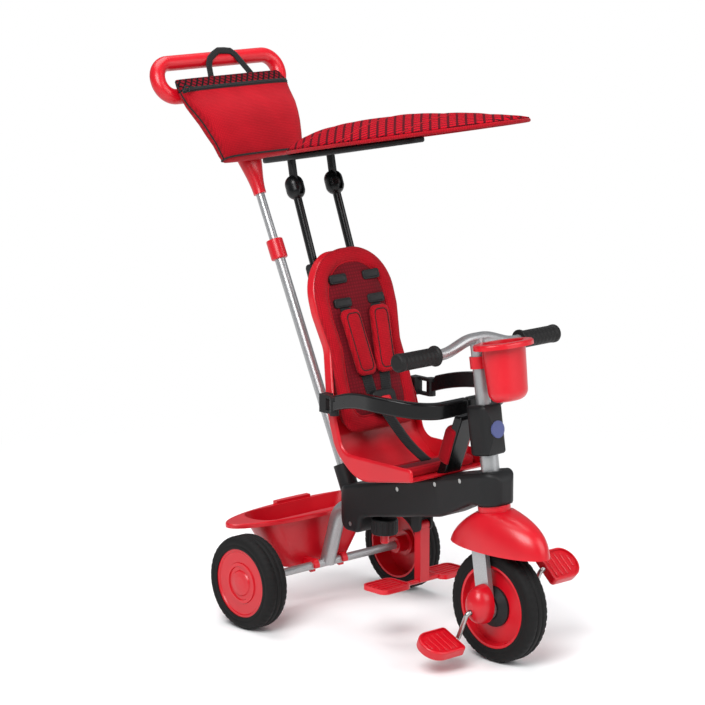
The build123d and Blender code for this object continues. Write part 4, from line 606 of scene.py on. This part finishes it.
def thicken(piece, thickness):
    """Gives a strip or a sheet its thickness, half to each side."""
    solid = piece.modifiers.new("thickness", "SOLIDIFY")
    solid.thickness = thickness * MM
    solid.offset = 0.0


def strap(name, middles, sides, width, thickness):
    """A flat strap: a strip along its middle line, with the direction across it at each point."""
    offsets = [width * MM * share for share in (-0.5, -0.25, 0.0, 0.25, 0.5)]
    rows = []
    charts = []
    length = 0.0
    before = middles[0]
    for middle, side in zip(middles, sides):
        length += (middle - before).length
        before = middle
        across = Vector(side).normalized()
        rows.append([middle + across * offset for offset in offsets])
        charts.append([(offset, length) for offset in offsets])
    made = skin(name, rows, charts)
    thicken(made, thickness)
    return made


def smooth_between(places, at):
    """A smooth value between pairs of place and value."""
    for (a, low), (b, high) in zip(places[:-1], places[1:]):
        if at <= b:
            t = max(0.0, (at - a) / (b - a))
            t = t * t * (3 - 2 * t)
            return low + (high - low) * t
    return places[-1][1]


class TRICYCLE_OT_finishes(bpy.types.Operator):
    """Makes the materials and gives every carried-over solid its own"""
    bl_idname = "tricycle.finishes"
    bl_label = "Moulded and metal parts"

    def execute(self, context):
        scene = context.scene
        make_finishes(scene.tricycle_colours, scene.tricycle_sizes)
        slots = {part["node"]: part["material_slot"] for part in frame["record"]["subparts"]}
        for name, node in frame["nodes"].items():
            node.data.materials.clear()
            finish = "polished_black" if name in POLISHED_NODES else slots[name]
            node.data.materials.append(FINISHES[finish])
        return {"FINISHED"}


class TRICYCLE_OT_tyres(bpy.types.Operator):
    """Builds the foam tyres with round shoulders, side rings, tread grooves and shoulder notches"""
    bl_idname = "tricycle.tyres"
    bl_label = "Tyres"

    # Each tyre's node, its body and its inner radius as a share of the outer one
    wheels = (
        ("rear_tyre_left", "rear_wheel_left", 66.0 / 90.0),
        ("rear_tyre_right", "rear_wheel_right", 66.0 / 90.0),
        ("front_tyre", "front_wheel", 78.0 / 105.0),
    )
    # One half of the section: out from the inner edge and in from the side, in from the tread and in from the
    # side, then the groove's depth and its distance from the middle
    side_ring = ((0, 1), (3, 0), (6, 0.2), (7.5, 1.2), (9, 0.2))
    shoulder = ((10, 0), (6.5, 1.0), (3.0, 3.6), (0.9, 7.5), (0, 11.5))
    groove = ((0, 7.5), (1.8, 6.6), (1.8, 4.8), (0, 4.0))
    notch_depth = 1.3
    notch_reach = 3.5
    notch_inner_edge = 8.0
    steps_per_block = 4

    def execute(self, context):
        steps = context.scene.tricycle_sizes.tread_blocks * self.steps_per_block
        for node, body, inner_share in self.wheels:
            low, high = (Vector(corner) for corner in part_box(node))
            centre = (low + high) / 2
            radius = (high.z - low.z) / 2 / MM
            half = (high.y - low.y) / 2 / MM
            self.tyre(node, body, centre, radius, half, radius * inner_share, steps)
        return {"FINISHED"}

    def tyre(self, node, body, centre, radius, half, inner, steps):
        section = [(inner + out, depth - half) for out, depth in self.side_ring]
        section += [(radius - low, depth - half) for low, depth in self.shoulder]
        section += [(radius - low, -y) for low, y in self.groove]
        section += [(r, -y) for r, y in reversed(section)]
        rows = []
        charts = []
        for r, y in section:
            notched = r > radius - self.notch_reach and abs(y) > self.notch_inner_edge
            row = []
            chart = []
            for k in range(steps):
                angle = math.tau * k / steps
                notch = self.notch_depth if notched and k % self.steps_per_block == 0 else 0.0
                reach = (r - notch) * MM
                row.append(centre + Vector((reach * math.sin(angle), y * MM, reach * math.cos(angle))))
                chart.append((angle * radius * MM, (r + y) * MM))
            rows.append(row)
            charts.append(chart)
        made = skin(node + "_tread", rows + rows[:1], charts + charts[:1], ring=True)
        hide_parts(node)
        dress(made, "tyre", body)


class TRICYCLE_OT_cushions(bpy.types.Operator):
    """Builds the padded back and seat with their rolled borders, inner panels, piping and black strap-slot
    plates, each a rim round a flat middle of painted shade
    """
    bl_idname = "tricycle.cushions"
    bl_label = "Seat cushions"

    # Outlines run across and up from each plane's foot. Profiles give each ring's inset and height
    outline_step = 6.0
    back_top = (BACK_TOP - BACK_LOW).length + 1.5
    back_side = [(94.0, 26.0), (94.0, 118.0), (87.5, 186.0), (98.5, 253.0), (98.5, back_top)]
    back_radii = [32, 40, 44, 44, 89]
    back_border = 28.0
    back_profile = [
        (12, 0.0), (9, 6.0), (8.5, 17.8), (2.5, 18.5), (0.4, 21.0), (0, 24.0), (1.6, 27.6), (5.5, 30.6),
        (11, 32.0), (17, 31.8), (22, 30.0), (25.5, 27.4), (27.5, 25.8), (29.5, 26.4), (34, 28.4), (44, 30.4),
        (57, 31.6), (72, 32.3), (84, 32.6),
    ]
    seat_low = (-102.0, 38.0)
    seat_high = (102.0, (PAN_FRONT - PAN_REAR).length - 34.0)
    seat_radii = [24, 24, 30, 30]
    seat_border = 15.5
    seat_profile = [
        (5, 0.0), (1, 4.0), (0, 9.0), (1.2, 13.5), (4, 17.0), (8, 19.0), (11, 18.4), (13, 16.0),
        (14.5, 14.4), (16.5, 15.0), (20, 16.8), (25, 18.6), (31, 19.8), (36, 20.3),
    ]
    piping_lift = 0.6
    # Each strap slot is a black rim whose closed black middle is painted shade standing for the slot's opening
    slot_ups = (316.0, 270.0)
    slot_across = 42.0
    slot_half_length = 21.0
    slot_half_height = 9.0
    slot_radius = 5.0
    slot_step = 2.0
    slot_sunk = 4.2
    slot_profile = [(0, 0), (0, 5.2), (1, 6.4), (2.2, 6.2), (3.4, 4.9), (5, 4.7)]

    def execute(self, context):
        bead = context.scene.tricycle_sizes.piping / MM
        other_side = [(-across, up) for across, up in reversed(self.back_side)]
        back_outline = rounded_outline(
            self.back_side + other_side, self.back_radii + self.back_radii[::-1], self.outline_step
        )
        self.cushion("back_cushion", "back_pad", BACK, back_outline, self.back_profile, self.back_border, bead)
        seat_outline = rounded_box(self.seat_low, self.seat_high, self.seat_radii, self.outline_step)
        self.cushion("seat_cushion", "seat_pad", PAN, seat_outline, self.seat_profile, self.seat_border, bead)
        for up in self.slot_ups:
            for across, side in ((-self.slot_across, "right"), (self.slot_across, "left")):
                self.slot_rim_with_painted_shade("strap_slot_%s_%d" % (side, up), across, up)
        return {"FINISHED"}

    def cushion(self, name, node, plane, outline, profile, border, bead):
        made = pad(name, plane, outline, profile, SEAT_WALL)
        made.data.materials.append(FINISHES["red_cloth"])
        made.data.materials.append(FINISHES["panel_cloth"])
        # The strips between rings come first, then the cap underneath, then the cap on top
        strips = len(profile) - 1
        count = len(outline)
        first_inner = next(i for i, ring in enumerate(profile) if ring[0] > border)
        for face in made.data.polygons:
            row = face.index // count
            if row >= first_inner and row != strips:
                face.material_index = 1
        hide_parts(node)
        dress(made, "red_cloth", "frame")
        inset, height = profile[first_inner - 1]
        seam = ring_on(plane, outline, inset, SEAT_WALL + height + self.piping_lift)
        dress(piping(name + "_piping", seam, bead, True), "red_cloth", "frame")

    def slot_rim_with_painted_shade(self, name, across, up):
        outline = rounded_box(
            (across - self.slot_half_length, up - self.slot_half_height),
            (across + self.slot_half_length, up + self.slot_half_height),
            [self.slot_radius] * 4, self.slot_step,
        )
        made = pad(name, BACK, outline, self.slot_profile, BACK_PAD_FACE - self.slot_sunk)
        dress(made, "black_plastic", "frame")


class TRICYCLE_OT_harness(bpy.types.Operator):
    """Builds the shoulder straps, their pads, the crotch strap and the buckle's press button"""
    bl_idname = "tricycle.harness"
    bl_label = "Harness"

    width = 25.0
    thickness = 1.8
    # Up the back and out from the back pad's face, along a shoulder strap
    strap_line = (
        (270, -6.3), (264, -2.3), (252, 0.6), (200, 1.0), (140, 0.8), (104, 0.7), (80, 1.2), (66, 2.7)
    )
    strap_top = 270
    top_across = 40.0
    lean = 23.0 / 194.0
    # Where the crotch strap leaves the buckle, where it meets the seat pad, and how far it sags
    crotch_start = (0, 56, BACK_PAD_FACE + 7.2)
    crotch_end = (0, 80, SEAT_WALL + 21.2)
    crotch_sag = 9
    crotch_steps = 8
    button_low = (-13, 64)
    button_high = (13, 84)
    button_radius = 6
    button_step = 2.5
    button_lift = 14.2
    button_profile = [(0, 0), (0, 1.5), (1.5, 2.6), (5, 3.0), (8, 2.2)]
    pad_top = 268
    pad_low = 128.0
    pad_high = 256.0
    pad_half_width = 23
    pad_radius = 13
    pad_step = 4.0
    pad_lift = 1.6
    pad_profile = [
        (3, 0.0), (0.5, 2.5), (0, 6.0), (1.2, 9.0), (4, 11.4), (7, 12.0), (8.6, 11.2), (10, 11.4),
        (13, 12.6), (17, 13.4), (20, 13.6),
    ]
    seam_inset = 8.6
    seam_lift = 13.2
    seam_share = 0.6

    def execute(self, context):
        bead = context.scene.tricycle_sizes.piping / MM
        for sign, side in ((1, "left"), (-1, "right")):
            line = [
                BACK @ Vector((sign * self.across(up, self.strap_top), up, BACK_PAD_FACE + height))
                for up, height in self.strap_line
            ]
            self.webbing("shoulder_strap_" + side, line)
            self.shoulder_pad(sign, side, bead)
        start = BACK @ Vector(self.crotch_start)
        end = PAN @ Vector(self.crotch_end)
        line = []
        for k in range(self.crotch_steps + 1):
            share = k / self.crotch_steps
            point = start.lerp(end, share)
            point.z -= self.crotch_sag * MM * math.sin(math.pi * share)
            line.append(point)
        self.webbing("crotch_strap", line)
        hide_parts("harness_straps")
        outline = rounded_box(self.button_low, self.button_high, [self.button_radius] * 4, self.button_step)
        button = pad("buckle_button", BACK, outline, self.button_profile, BACK_PAD_FACE + self.button_lift)
        dress(button, "red_plastic", "frame")
        return {"FINISHED"}

    def across(self, up, top):
        """How far from the middle a shoulder strap runs: the straps close in on the buckle."""
        return self.top_across - (top - up) * self.lean

    def webbing(self, name, line):
        made = strap(name, line, [(0, 1, 0)] * len(line), self.width, self.thickness)
        return dress(made, "webbing", "frame")

    def shoulder_pad(self, sign, side, bead):
        foot = self.across(self.pad_low, self.pad_top)
        head = self.across(self.pad_high, self.pad_top)
        half = self.pad_half_width
        outline = rounded_outline(
            [
                (foot - half, self.pad_low), (foot + half, self.pad_low),
                (head + half, self.pad_high), (head - half, self.pad_high),
            ],
            [self.pad_radius] * 4, self.pad_step,
        )
        if sign < 0:
            outline = [Vector((-p.x, p.y)) for p in reversed(outline)]
        made = pad("shoulder_pad_" + side, BACK, outline, self.pad_profile, BACK_PAD_FACE + self.pad_lift)
        if sign > 0:
            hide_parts("shoulder_pads")
        dress(made, "red_cloth", "frame")
        seam = ring_on(BACK, outline, self.seam_inset, BACK_PAD_FACE + self.seam_lift)
        dress(piping("shoulder_piping_" + side, seam, bead * self.seam_share, True), "webbing", "frame")


class TRICYCLE_OT_guard_pad(bpy.types.Operator):
    """Builds the soft pad wrapped round the seat's side of the guard's post"""
    bl_idname = "tricycle.guard_pad"
    bl_label = "Guard pad"

    foot_in = 12.0
    half_width = 26.0
    foot_gap = 4.0
    head_gap = 10.0
    radius = 12.0
    outline_step = 4.0
    lift = 0.2
    profile = [
        (3, -16.0), (0.6, -14.0), (0, -8.0), (0, 2.0), (1, 6.0), (3.5, 9.4), (8, 11.4), (13, 12.2), (19, 12.6),
    ]

    def execute(self, context):
        low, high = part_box("guard_post_pad")
        foot = Vector((low[0] + self.foot_in * MM, 0, low[2]))
        head = Vector((high[0], 0, high[2]))
        run = (head - foot).normalized()
        place = foot / MM + Vector((MIDDLE_X, 0, 0))
        plane = leaning(place, (0, -1, 0), (-run.z, 0, run.x))
        length = (head - foot).length / MM
        outline = rounded_box(
            (-self.half_width, self.foot_gap), (self.half_width, length - self.head_gap),
            [self.radius] * 4, self.outline_step,
        )
        made = pad("guard_cushion", plane, outline, self.profile, self.lift)
        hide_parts("guard_post_pad")
        dress(made, "red_cloth", "frame")
        return {"FINISHED"}


class TRICYCLE_OT_sunshade(bpy.types.Operator):
    """Builds the sunshade's stretched cloth with its bound edge and sewn seams"""
    bl_idname = "tricycle.sunshade"
    bl_label = "Sunshade"

    length = 558.0
    half_width = 164.0
    crown = 37.0
    # The cloth's rise along its middle, as a share of the crown, from the rear end to the front tip
    arches = [
        (0.0, 0.0), (0.015, 0.42), (0.06, 0.66), (0.18, 0.89), (0.34, 0.99), (0.52, 0.94), (0.68, 0.74),
        (0.83, 0.43), (0.94, 0.24), (0.985, 0.15), (1.0, 0.0),
    ]
    end_share = 0.0015
    end_room = 6
    steps_along = 64
    steps_across = 32
    cloth_lift = 1.2
    cloth_thickness = 1.6
    hoop_radius = 3.0
    hem_wrap = 0.7
    hem_steps = 72
    hem_in_along = 4
    hem_in_across = 2
    seams = (0.25, 0.5, 0.75)
    seam_steps = 24
    seam_reach = 0.98
    seam_lift = 2.0
    seam_radius = 1.2

    def point(self, along, side, lift):
        """A place on the cloth and its chart, from shares along it and from side to side."""
        share = min(1 - self.end_share, max(self.end_share, along))
        half = self.half_width * math.sqrt(1 - (2 * share - 1) ** 2)
        rise = smooth_between(self.arches, along) * self.crown * (1 - side * side)
        x = self.length / 2 + (share - 0.5) * (self.length - self.end_room)
        return SHADE @ Vector((half * side, -x, rise + lift)), (half * side * MM, x * MM)

    def execute(self, context):
        rows = []
        charts = []
        for i in range(self.steps_along + 1):
            along = 0.5 - 0.5 * math.cos(math.pi * i / self.steps_along)
            row = [
                self.point(along, -1 + 2 * k / self.steps_across, self.cloth_lift)
                for k in range(self.steps_across + 1)
            ]
            rows.append([place for place, chart in row])
            charts.append([chart for place, chart in row])
        cloth = skin("shade_cloth", rows, charts)
        thicken(cloth, self.cloth_thickness)
        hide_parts("canopy_cloth")
        dress(cloth, "mesh_cloth", "canopy")
        # The hem is a sleeve round the hoop
        edge = []
        for k in range(self.hem_steps):
            turn = math.tau * k / self.hem_steps
            x = self.length / 2 - (self.length / 2 - self.hem_in_along) * math.cos(turn)
            y = math.sin(turn) * (self.half_width - self.hem_in_across)
            edge.append(SHADE @ Vector((y, -x, -self.hoop_radius)))
        hem = piping("shade_hem", edge, self.hoop_radius + self.hem_wrap, True)
        dress(hem, "red_cloth", "canopy")
        for number, along in enumerate(self.seams):
            line = [
                self.point(along, self.seam_reach * (2 * k / self.seam_steps - 1), self.seam_lift)[0]
                for k in range(self.seam_steps + 1)
            ]
            seam = piping("shade_seam_%d" % number, line, self.seam_radius, False)
            dress(seam, "red_cloth", "canopy")
        return {"FINISHED"}


class TRICYCLE_OT_bag(bpy.types.Operator):
    """Builds the soft bag on the push handle with its gusset, zip, piping and carry strap"""
    bl_idname = "tricycle.bag"
    bl_label = "Handle bag"

    # Rows up the handle: height, half width, and how far the back and the front stand off the handle
    places = [
        (654.0, 92.0, 23.0, 52.0), (658.0, 96.0, 20.5, 58.0), (668.0, 100.0, 19.0, 62.0),
        (690.0, 105.0, 17.5, 65.0), (715.0, 112.0, 12.0, 65.0), (735.0, 117.0, 9.0, 62.5),
        (758.0, 124.0, 5.0, 54.5), (776.0, 129.0, 2.0, 44.0), (790.0, 131.5, 1.8, 37.0),
        (800.0, 133.0, 1.6, 34.0), (806.0, 133.5, 1.6, 33.0), (814.0, 133.5, 1.6, 28.0),
        (822.0, 133.0, 1.6, 23.0), (830.0, 131.5, 1.8, 17.0), (834.0, 129.0, 3.0, 13.0),
    ]
    # Powers below one square the rows' corners. The front draws in at its sides and at one soft crease
    across_power = 0.4
    depth_power = 0.45
    side_draw = 0.1
    crease_draw = 0.06
    crease_across = -0.18
    crease_width = 0.09
    low_row = 1
    zip_row = 10
    around = 72
    low_piping_steps = 48
    # The shares of a row at the bag's two sides, and from the zip's start to its end
    sides = ((0.25, "left"), (0.75, "right"))
    zip_start = 0.27
    zip_run = 0.46
    zip_steps = 40
    zip_width = 9.0
    zip_thickness = 1.6
    teeth_radius = 1.7
    # The carry strap's middle, across and up the handle, and how far it stands off the handle
    carry_line = (
        (-36, 828), (-34.4, 840), (-31.5, 860), (-24, 873), (-11, 882), (2, 888), (18, 887), (32, 885),
        (42, 876), (52, 860), (63, 842), (71, 828),
    )
    carry_off = 2.4
    carry_width = 13.0
    carry_thickness = 2.0

    def execute(self, context):
        bead = context.scene.tricycle_sizes.piping / MM
        rows = [[self.point(place, k / self.around) for k in range(self.around)] for place in self.places]
        charts = [[(point.y, place[0] * MM) for point in row] for row, place in zip(rows, self.places)]
        bag = skin("bag_shell", rows, charts, ring=True, capped=True)
        bag.data.materials.append(FINISHES["red_cloth"])
        bag.data.materials.append(FINISHES["gusset_cloth"])
        # The strips between rows come first, then the cap underneath, then the cap on top
        strips = len(self.places) - 1
        # Rows from the zip up take the gusset's net over a base darkened with painted shade
        for face in bag.data.polygons:
            row = face.index // self.around
            if row >= self.zip_row and row != strips:
                face.material_index = 1
        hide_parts("handle_bag")
        dress(bag, "red_cloth", "handle_top")
        self.zip_fastener()
        low_edge = [
            self.point(self.places[self.low_row], k / self.low_piping_steps)
            for k in range(self.low_piping_steps)
        ]
        dress(piping("bag_low_piping", low_edge, bead, True), "webbing", "handle_top")
        for share, side in self.sides:
            edge = [self.point(place, share) for place in self.places[self.low_row:-1]]
            dress(piping("bag_piping_" + side, edge, bead, False), "webbing", "handle_top")
        self.carry_strap()
        return {"FINISHED"}

    def point(self, place, share):
        """A place on the bag, from a row and a share of the way round it, from the middle of the back."""
        up, half, back, front = place
        angle = math.tau * share
        across = math.sin(angle)
        ahead = -math.cos(angle)
        flat = math.copysign(abs(across) ** self.across_power, across)
        deep = math.copysign(abs(ahead) ** self.depth_power, ahead)
        bulge = 1.0
        if deep > 0:
            crease = math.exp(-((flat - self.crease_across) / self.crease_width) ** 2)
            bulge = 1.0 - self.side_draw * abs(flat) ** 3 - self.crease_draw * crease
        return HANDLE @ Vector((half * flat, up, (back + front) / 2 + (front - back) / 2 * deep * bulge))

    def zip_fastener(self):
        line = [
            self.point(self.places[self.zip_row], self.zip_start + self.zip_run * k / self.zip_steps)
            for k in range(self.zip_steps + 1)
        ]
        up = HANDLE.to_3x3() @ Vector((0, 1, 0))
        tape = strap("zip_tape", line, [up] * len(line), self.zip_width, self.zip_thickness)
        dress(tape, "webbing", "handle_top")
        teeth = piping("zip_teeth", line, self.teeth_radius, False)
        dress(teeth, "black_plastic", "handle_top")

    def carry_strap(self):
        middles = [HANDLE @ Vector((across, up, self.carry_off)) for across, up in self.carry_line]
        out = HANDLE.to_3x3() @ Vector((0, 0, 1))
        onward = middles[1:] + middles[-1:]
        behind = middles[:1] + middles[:-1]
        sides = [(after - before).cross(out) for before, after in zip(behind, onward)]
        made = strap("bag_carry_strap", middles, sides, self.carry_width, self.carry_thickness)
        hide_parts("bag_strap")
        dress(made, "webbing", "handle_top")


class TRICYCLE_OT_treads(bpy.types.Operator):
    """Adds the raised tread bars on the pedals and footrest pads"""
    bl_idname = "tricycle.treads"
    bl_label = "Treads"

    # Each pedal's tilt in degrees and its outward side, then half the length of its bars from the crank out
    pedals = (("pedal_left", 42.0, 1), ("pedal_right", 24.0, -1))
    pedal_reaches = (24.0, 24.0, 24.0, 20.0, 12.0)
    pedal_pitch = 13.0
    pedal_face = 5.8
    pedal_bar_half = 2.6
    pedal_bar_height = 1.9
    # A bar's corner radius, where its sides end and how far its top draws in, as shares of its sizes
    bar_corner = 0.9
    bar_side = 0.6
    bar_draw = 0.4
    bar_step = 2.0
    # The footrest's pads in the frame: their middle, and how high their tops are
    footrest_x = 135.0
    footrest_y = 77.0
    footrest_top = 110.4
    footrest_bars = 5
    footrest_pitch = 11.0
    footrest_reach = 28.0
    footrest_bar_half = 2.4
    footrest_bar_height = 1.8

    def execute(self, context):
        for node, tilt, outward in self.pedals:
            low, high = (Vector(corner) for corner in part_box(node))
            spindle = Matrix.Translation((low + high) / 2) @ Matrix.Rotation(math.radians(tilt), 4, "Y")
            for face, out in (("top", 1), ("under", -1)):
                for number, reach in enumerate(self.pedal_reaches):
                    shift = outward * (number - 2) * self.pedal_pitch * MM
                    plane = spindle @ Matrix.Translation((0, shift, out * self.pedal_face * MM))
                    name = "%s_bar_%s_%d" % (node, face, number)
                    self.bar(name, node, plane, reach, self.pedal_bar_half, self.pedal_bar_height * out)
        across = Matrix.Rotation(math.pi / 2, 4, "Z")
        for side, word in ((1, "left"), (-1, "right")):
            for number in range(self.footrest_bars):
                along = self.footrest_x + (number - 2) * self.footrest_pitch
                middle = Vector((along, side * self.footrest_y, self.footrest_top)) * MM
                self.bar(
                    "footrest_bar_%s_%d" % (word, number), "footrest", Matrix.Translation(middle) @ across,
                    self.footrest_reach, self.footrest_bar_half, self.footrest_bar_height,
                )
        return {"FINISHED"}

    def bar(self, name, body, plane, reach, half, height):
        outline = rounded_box((-reach, -half), (reach, half), [half * self.bar_corner] * 4, self.bar_step)
        profile = [(0, 0), (0, height * self.bar_side), (half * self.bar_draw, height)]
        made = pad(name, plane @ Matrix.Scale(MM, 4), outline, profile, 0.0)
        dress(made, "red_plastic", body)


class TRICYCLE_OT_studio(bpy.types.Operator):
    """Sets the pale floor, the soft lamps and the camera"""
    bl_idname = "tricycle.studio"
    bl_label = "Studio"

    # Metres and watts. The floor fades to plain white between two distances from its middle
    floor_half = 9.0
    floor_z = -0.0005
    fade_start = 0.75
    fade_end = 1.7
    world_strength = 0.3
    world_tint = (0.92, 0.95, 1.0, 1)
    white = (1, 1, 1, 1)
    softboxes = (
        ("key softbox", (1.6, -2.6, 3.2), 2.2, 165.0),
        ("fill softbox", (3.0, 1.2, 2.0), 2.4, 60.0),
        ("top softbox", (-0.8, 0.2, 3.6), 2.6, 85.0),
    )
    lamp_target = Vector((0, 0, 0.45))
    # The photograph's camera: its focal length is in pixels of an image 705 wide
    azimuth = math.radians(47.25)
    elevation = math.radians(11.65)
    camera_target = Vector((72.1 - MIDDLE_X, 0.0, 516.2)) * MM
    camera_distance = 5.6196
    focal_pixels = 2960.5
    image_width = 705.0
    sensor_width = 36.0

    def execute(self, context):
        scene = context.scene
        self.floor(scene.tricycle_colours.floor)
        self.world(scene)
        self.lamps()
        self.camera(scene)
        scene.view_settings.view_transform = "Standard"
        return {"FINISHED"}

    def floor(self, hex_text):
        edges = (-self.floor_half, self.floor_half)
        rows = [[Vector((x, y, self.floor_z)) for x in edges] for y in edges]
        charts = [[(point.x, point.y) for point in row] for row in rows]
        made = skin("studio_floor", rows, charts)
        # Matt pale board, which keeps the shadow and goes over to plain white further out
        material, tree, at = new_material("pale studio floor")
        away = add_node(tree, "ShaderNodeVectorMath", links={0: at["Object"]}, operation="LENGTH")
        fade = add_node(
            tree, "ShaderNodeMapRange", {"From Min": self.fade_start, "From Max": self.fade_end},
            {"Value": away.outputs["Value"]},
        )
        ray = add_node(tree, "ShaderNodeLightPath").outputs
        seen = add_node(
            tree, "ShaderNodeMath", links={0: ray["Is Camera Ray"], 1: ray["Is Glossy Ray"]},
            operation="MAXIMUM",
        )
        shown = add_node(
            tree, "ShaderNodeMath", links={0: seen.outputs["Value"], 1: ray["Is Transmission Ray"]},
            operation="MAXIMUM",
        )
        share = add_node(
            tree, "ShaderNodeMath", links={0: fade.outputs["Result"], 1: shown.outputs["Value"]},
            operation="MULTIPLY",
        )
        matt = add_node(tree, "ShaderNodeBsdfDiffuse", {"Color": linear(hex_text)})
        glow = add_node(tree, "ShaderNodeEmission", {"Color": self.white, "Strength": 1.0})
        mixed = add_node(
            tree, "ShaderNodeMixShader",
            links={0: share.outputs["Value"], 1: matt.outputs["BSDF"], 2: glow.outputs["Emission"]},
        )
        add_node(tree, "ShaderNodeOutputMaterial", links={"Surface": mixed.outputs["Shader"]})
        made.data.materials.append(material)

    def world(self, scene):
        world = bpy.data.worlds.new("soft studio")
        world.use_nodes = True
        tree = world.node_tree
        tree.nodes.clear()
        ray = add_node(tree, "ShaderNodeLightPath").outputs
        seen = add_node(
            tree, "ShaderNodeMath", links={0: ray["Is Camera Ray"], 1: ray["Is Transmission Ray"]},
            operation="MAXIMUM",
        )
        dim = add_node(
            tree, "ShaderNodeBackground", {"Color": self.world_tint, "Strength": self.world_strength}
        )
        bright = add_node(tree, "ShaderNodeBackground", {"Color": self.white, "Strength": 1.0})
        mixed = add_node(
            tree, "ShaderNodeMixShader",
            links={0: seen.outputs["Value"], 1: dim.outputs["Background"], 2: bright.outputs["Background"]},
        )
        add_node(tree, "ShaderNodeOutputWorld", links={"Surface": mixed.outputs["Shader"]})
        scene.world = world

    def lamps(self):
        for name, place, size, watts in self.softboxes:
            lamp = bpy.data.lights.new(name, "AREA")
            lamp.energy = watts
            lamp.size = size
            made = put_in_scene(name, lamp)
            made.location = place
            made.rotation_euler = (self.lamp_target - Vector(place)).to_track_quat("-Z", "Y").to_euler()

    def camera(self, scene):
        level = math.cos(self.elevation)
        back = Vector(
            (math.sin(self.azimuth) * level, -math.cos(self.azimuth) * level, math.sin(self.elevation))
        )
        lens = bpy.data.cameras.new("studio camera")
        lens.sensor_width = self.sensor_width
        lens.lens = self.focal_pixels / self.image_width * self.sensor_width
        made = put_in_scene("studio camera", lens)
        made.location = self.camera_target + back * self.camera_distance
        made.rotation_euler = (-back).to_track_quat("-Z", "Y").to_euler()
        scene.camera = made


OPERATORS = (
    TRICYCLE_OT_studio,
    TRICYCLE_OT_finishes,
    TRICYCLE_OT_tyres,
    TRICYCLE_OT_cushions,
    TRICYCLE_OT_harness,
    TRICYCLE_OT_guard_pad,
    TRICYCLE_OT_sunshade,
    TRICYCLE_OT_bag,
    TRICYCLE_OT_treads,
)


class TRICYCLE_PT_panel(bpy.types.Panel):
    """Lists the tricycle's pieces, colours and sizes"""
    bl_idname = "TRICYCLE_PT_panel"
    bl_label = "Tricycle"
    bl_space_type = "VIEW_3D"
    bl_region_type = "UI"
    bl_category = "Tricycle"

    def draw(self, context):
        for operator in OPERATORS:
            self.layout.operator(operator.bl_idname)
        for name in TricycleColours.__annotations__:
            self.layout.prop(context.scene.tricycle_colours, name)
        for name in TricycleSizes.__annotations__:
            self.layout.prop(context.scene.tricycle_sizes, name)


CLASSES = (TricycleColours, TricycleSizes) + OPERATORS + (TRICYCLE_PT_panel,)


def register():
    for entry in CLASSES:
        bpy.utils.register_class(entry)
    bpy.types.Scene.tricycle_colours = bpy.props.PointerProperty(type=TricycleColours)
    bpy.types.Scene.tricycle_sizes = bpy.props.PointerProperty(type=TricycleSizes)


def unregister():
    del bpy.types.Scene.tricycle_sizes
    del bpy.types.Scene.tricycle_colours
    for entry in reversed(CLASSES):
        bpy.utils.unregister_class(entry)


def main():
    register()
    bpy.ops.tricycle.studio()
    bpy.ops.tricycle.finishes()
    bpy.ops.tricycle.tyres()
    bpy.ops.tricycle.cushions()
    bpy.ops.tricycle.harness()
    bpy.ops.tricycle.guard_pad()
    bpy.ops.tricycle.sunshade()
    bpy.ops.tricycle.bag()
    bpy.ops.tricycle.treads()


if __name__ == "__main__":
    main()
